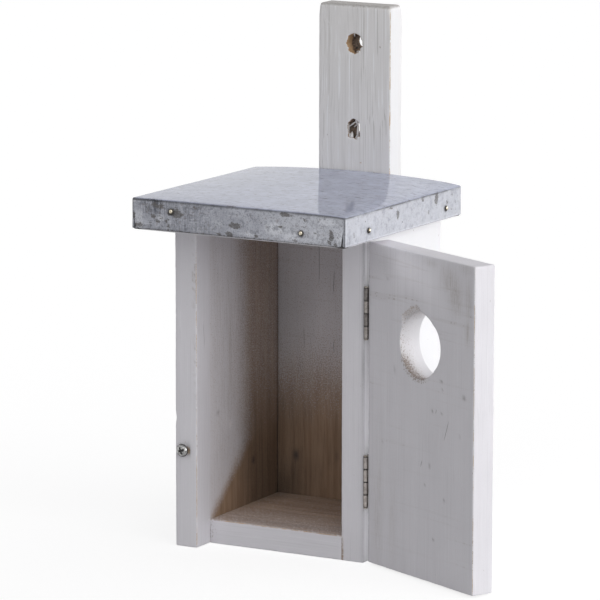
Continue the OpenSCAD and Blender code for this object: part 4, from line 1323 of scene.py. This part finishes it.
def dressRoofPins(look):
    # Each side of the roof has two pins, darker low down and towards their rims as painted shade, with fine
    # grains of dirt
    steel = headSteel("dullRoofPinSteel", tint(226, 220, 206), tint(160, 146, 118), tint(38, 34, 30))
    profile = domeProfile(look, 0.0, look["shankLength"])
    for side, outward in roofPinSides.items():
        parts = []
        dirt = []
        for start in pinsOf[side]:
            grid = turnedPin(start, outward, profile, 40)[0]
            offset = grid.reshape(-1, 3) - start
            away = np.linalg.norm(offset * (1 - np.abs(outward)), axis=1)
            lower = -offset[:, 2] / look["headRadius"]
            grains = layeredNoise(grid.reshape(-1, 3), 1.1, 91)
            dirt.append(0.95 * ease(away + 0.22 * lower, 0.62, 1.05) + 0.25 * grains)
            parts.append((grid, cellsOf(grid.shape[:2], loop=1)))
        mesh = makeMesh(side + "RoofPins", *joined(parts), dict(dirt=np.concatenate(dirt)), weld=True)
        addPiece(side + "RoofPins", mesh, steel, "box", "roof_pins_" + side)


dressRoofPins(pinLook)

# a node gets the metal of the word that its name holds
plainMetals = dict(
    hinge_pin=metalFinish("dullPinSteel", tint(166, 160, 152), tint(128, 119, 108), 0.34, 0.55),
    nails=metalFinish("paintedNailHeads", tint(225, 223, 226), tint(200, 196, 196), 0.5, 0.35, 0.1),
    screws=metalFinish("brightScrewSteel", tint(170, 168, 164), tint(130, 127, 122), 0.2, 0.4, 1.0))
for nodeName in frame["nodes"]:
    for word, metal in plainMetals.items():
        if word in nodeName:
            giveMetal(nodeName, metal)
print("ironwork finished")

# a sun is (strength, angular size, direction round from +X, height), with its angles in degrees; lengths
# here are in metres
studio = dict(
    ambient=0.29, ambientTint=(0.985, 0.985, 1.0, 1), floorGlow=0.78, floorSize=6.0, floorDrop=0.0002,
    floorBounce=0.6, floorWeak=0.36,
    suns=dict(
        keyLight=(1.78, 50, 0, 8), sideLight=(1.2, 50, 60, 8), lowFill=(0.5, 60, -30, 10),
        frontFill=(0.64, 60, -60, 38)),
    camera=dict(
        place=(1.0768, -1.97315, 0.5393), yaw=28.811, pitch=10.607, roll=0.07, lens=279.2, sensor=36.0))


def grey(value):
    # A colour with the same red, green and blue
    return (value, value, value, 1)


def studioFloor(look):
    # Pale floor: plain matt for the light that bounces off it, and paler for the eye and for reflections
    make = finishNamed("paleFloor")
    matt = make.add("BsdfDiffuse", {"Color": grey(look["floorBounce"])}).outputs[0]
    weak = make.add("BsdfDiffuse", {"Color": grey(look["floorWeak"])}).outputs[0]
    glow = make.add("Emission", {"Color": grey(1), "Strength": look["floorGlow"]}).outputs[0]
    both = make.add("AddShader", {0: weak, 1: glow}).outputs[0]
    result = make.add("MixShader", {0: make.seen(), 1: matt, 2: both}).outputs[0]
    make.add("OutputMaterial", {"Surface": result})
    half = look["floorSize"] / 2
    mesh = bpy.data.meshes.new("studioFloor")
    corners = [(x * half, y * half, -look["floorDrop"]) for x, y in ((-1, -1), (1, -1), (1, 1), (-1, 1))]
    mesh.from_pydata(corners, [], [(0, 1, 2, 3)])
    mesh.materials.append(make.holder)
    placed("studioFloor", mesh)


def studioWorld(look):
    # White for the eye and for reflections, and a soft bluish grey for the rest of the light
    world = bpy.data.worlds.new("studioWorld")
    bpy.context.scene.world = world
    make = Finish(world)
    soft = {"Color": look["ambientTint"], "Strength": look["ambient"]}
    ambient = make.add("Background", soft).outputs[0]
    white = make.add("Background", {"Color": grey(1), "Strength": 1.0}).outputs[0]
    mixed = make.add("MixShader", {0: make.seen(), 1: ambient, 2: white}).outputs[0]
    make.add("OutputWorld", {"Surface": mixed})


def aimed(turn, tilt, roll=0.0):
    # How a lamp or a camera that looks down is set: rolled, then tilted up, then turned about the upright
    # axis, all in degrees
    aim = Matrix.Rotation(math.radians(turn), 3, "Z") @ Matrix.Rotation(math.radians(tilt), 3, "X")
    return (aim @ Matrix.Rotation(math.radians(roll), 3, "Z")).to_euler()


def studioLights(suns):
    # Suns shine from their direction and height towards the nest box
    for name, (strength, size, fromX, height) in suns.items():
        light = bpy.data.lights.new(name, "SUN")
        light.energy = strength
        light.angle = math.radians(size)
        placed(name, light).rotation_euler = aimed(fromX + 90, 90 - height)


def studioCamera(view):
    # A long lens, well away from the nest box and a little above it
    camera = placed("camera", bpy.data.cameras.new("camera"))
    camera.data.lens = view["lens"]
    camera.data.sensor_width = view["sensor"]
    camera.data.clip_end = 50.0
    camera.location = view["place"]
    camera.rotation_euler = aimed(view["yaw"], 90 - view["pitch"], view["roll"])
    bpy.context.scene.camera = camera


studioFloor(studio)
studioWorld(studio)
studioLights(studio["suns"])
studioCamera(studio["camera"])
bpy.context.scene.view_settings.view_transform = "Standard"
print("studio ready")
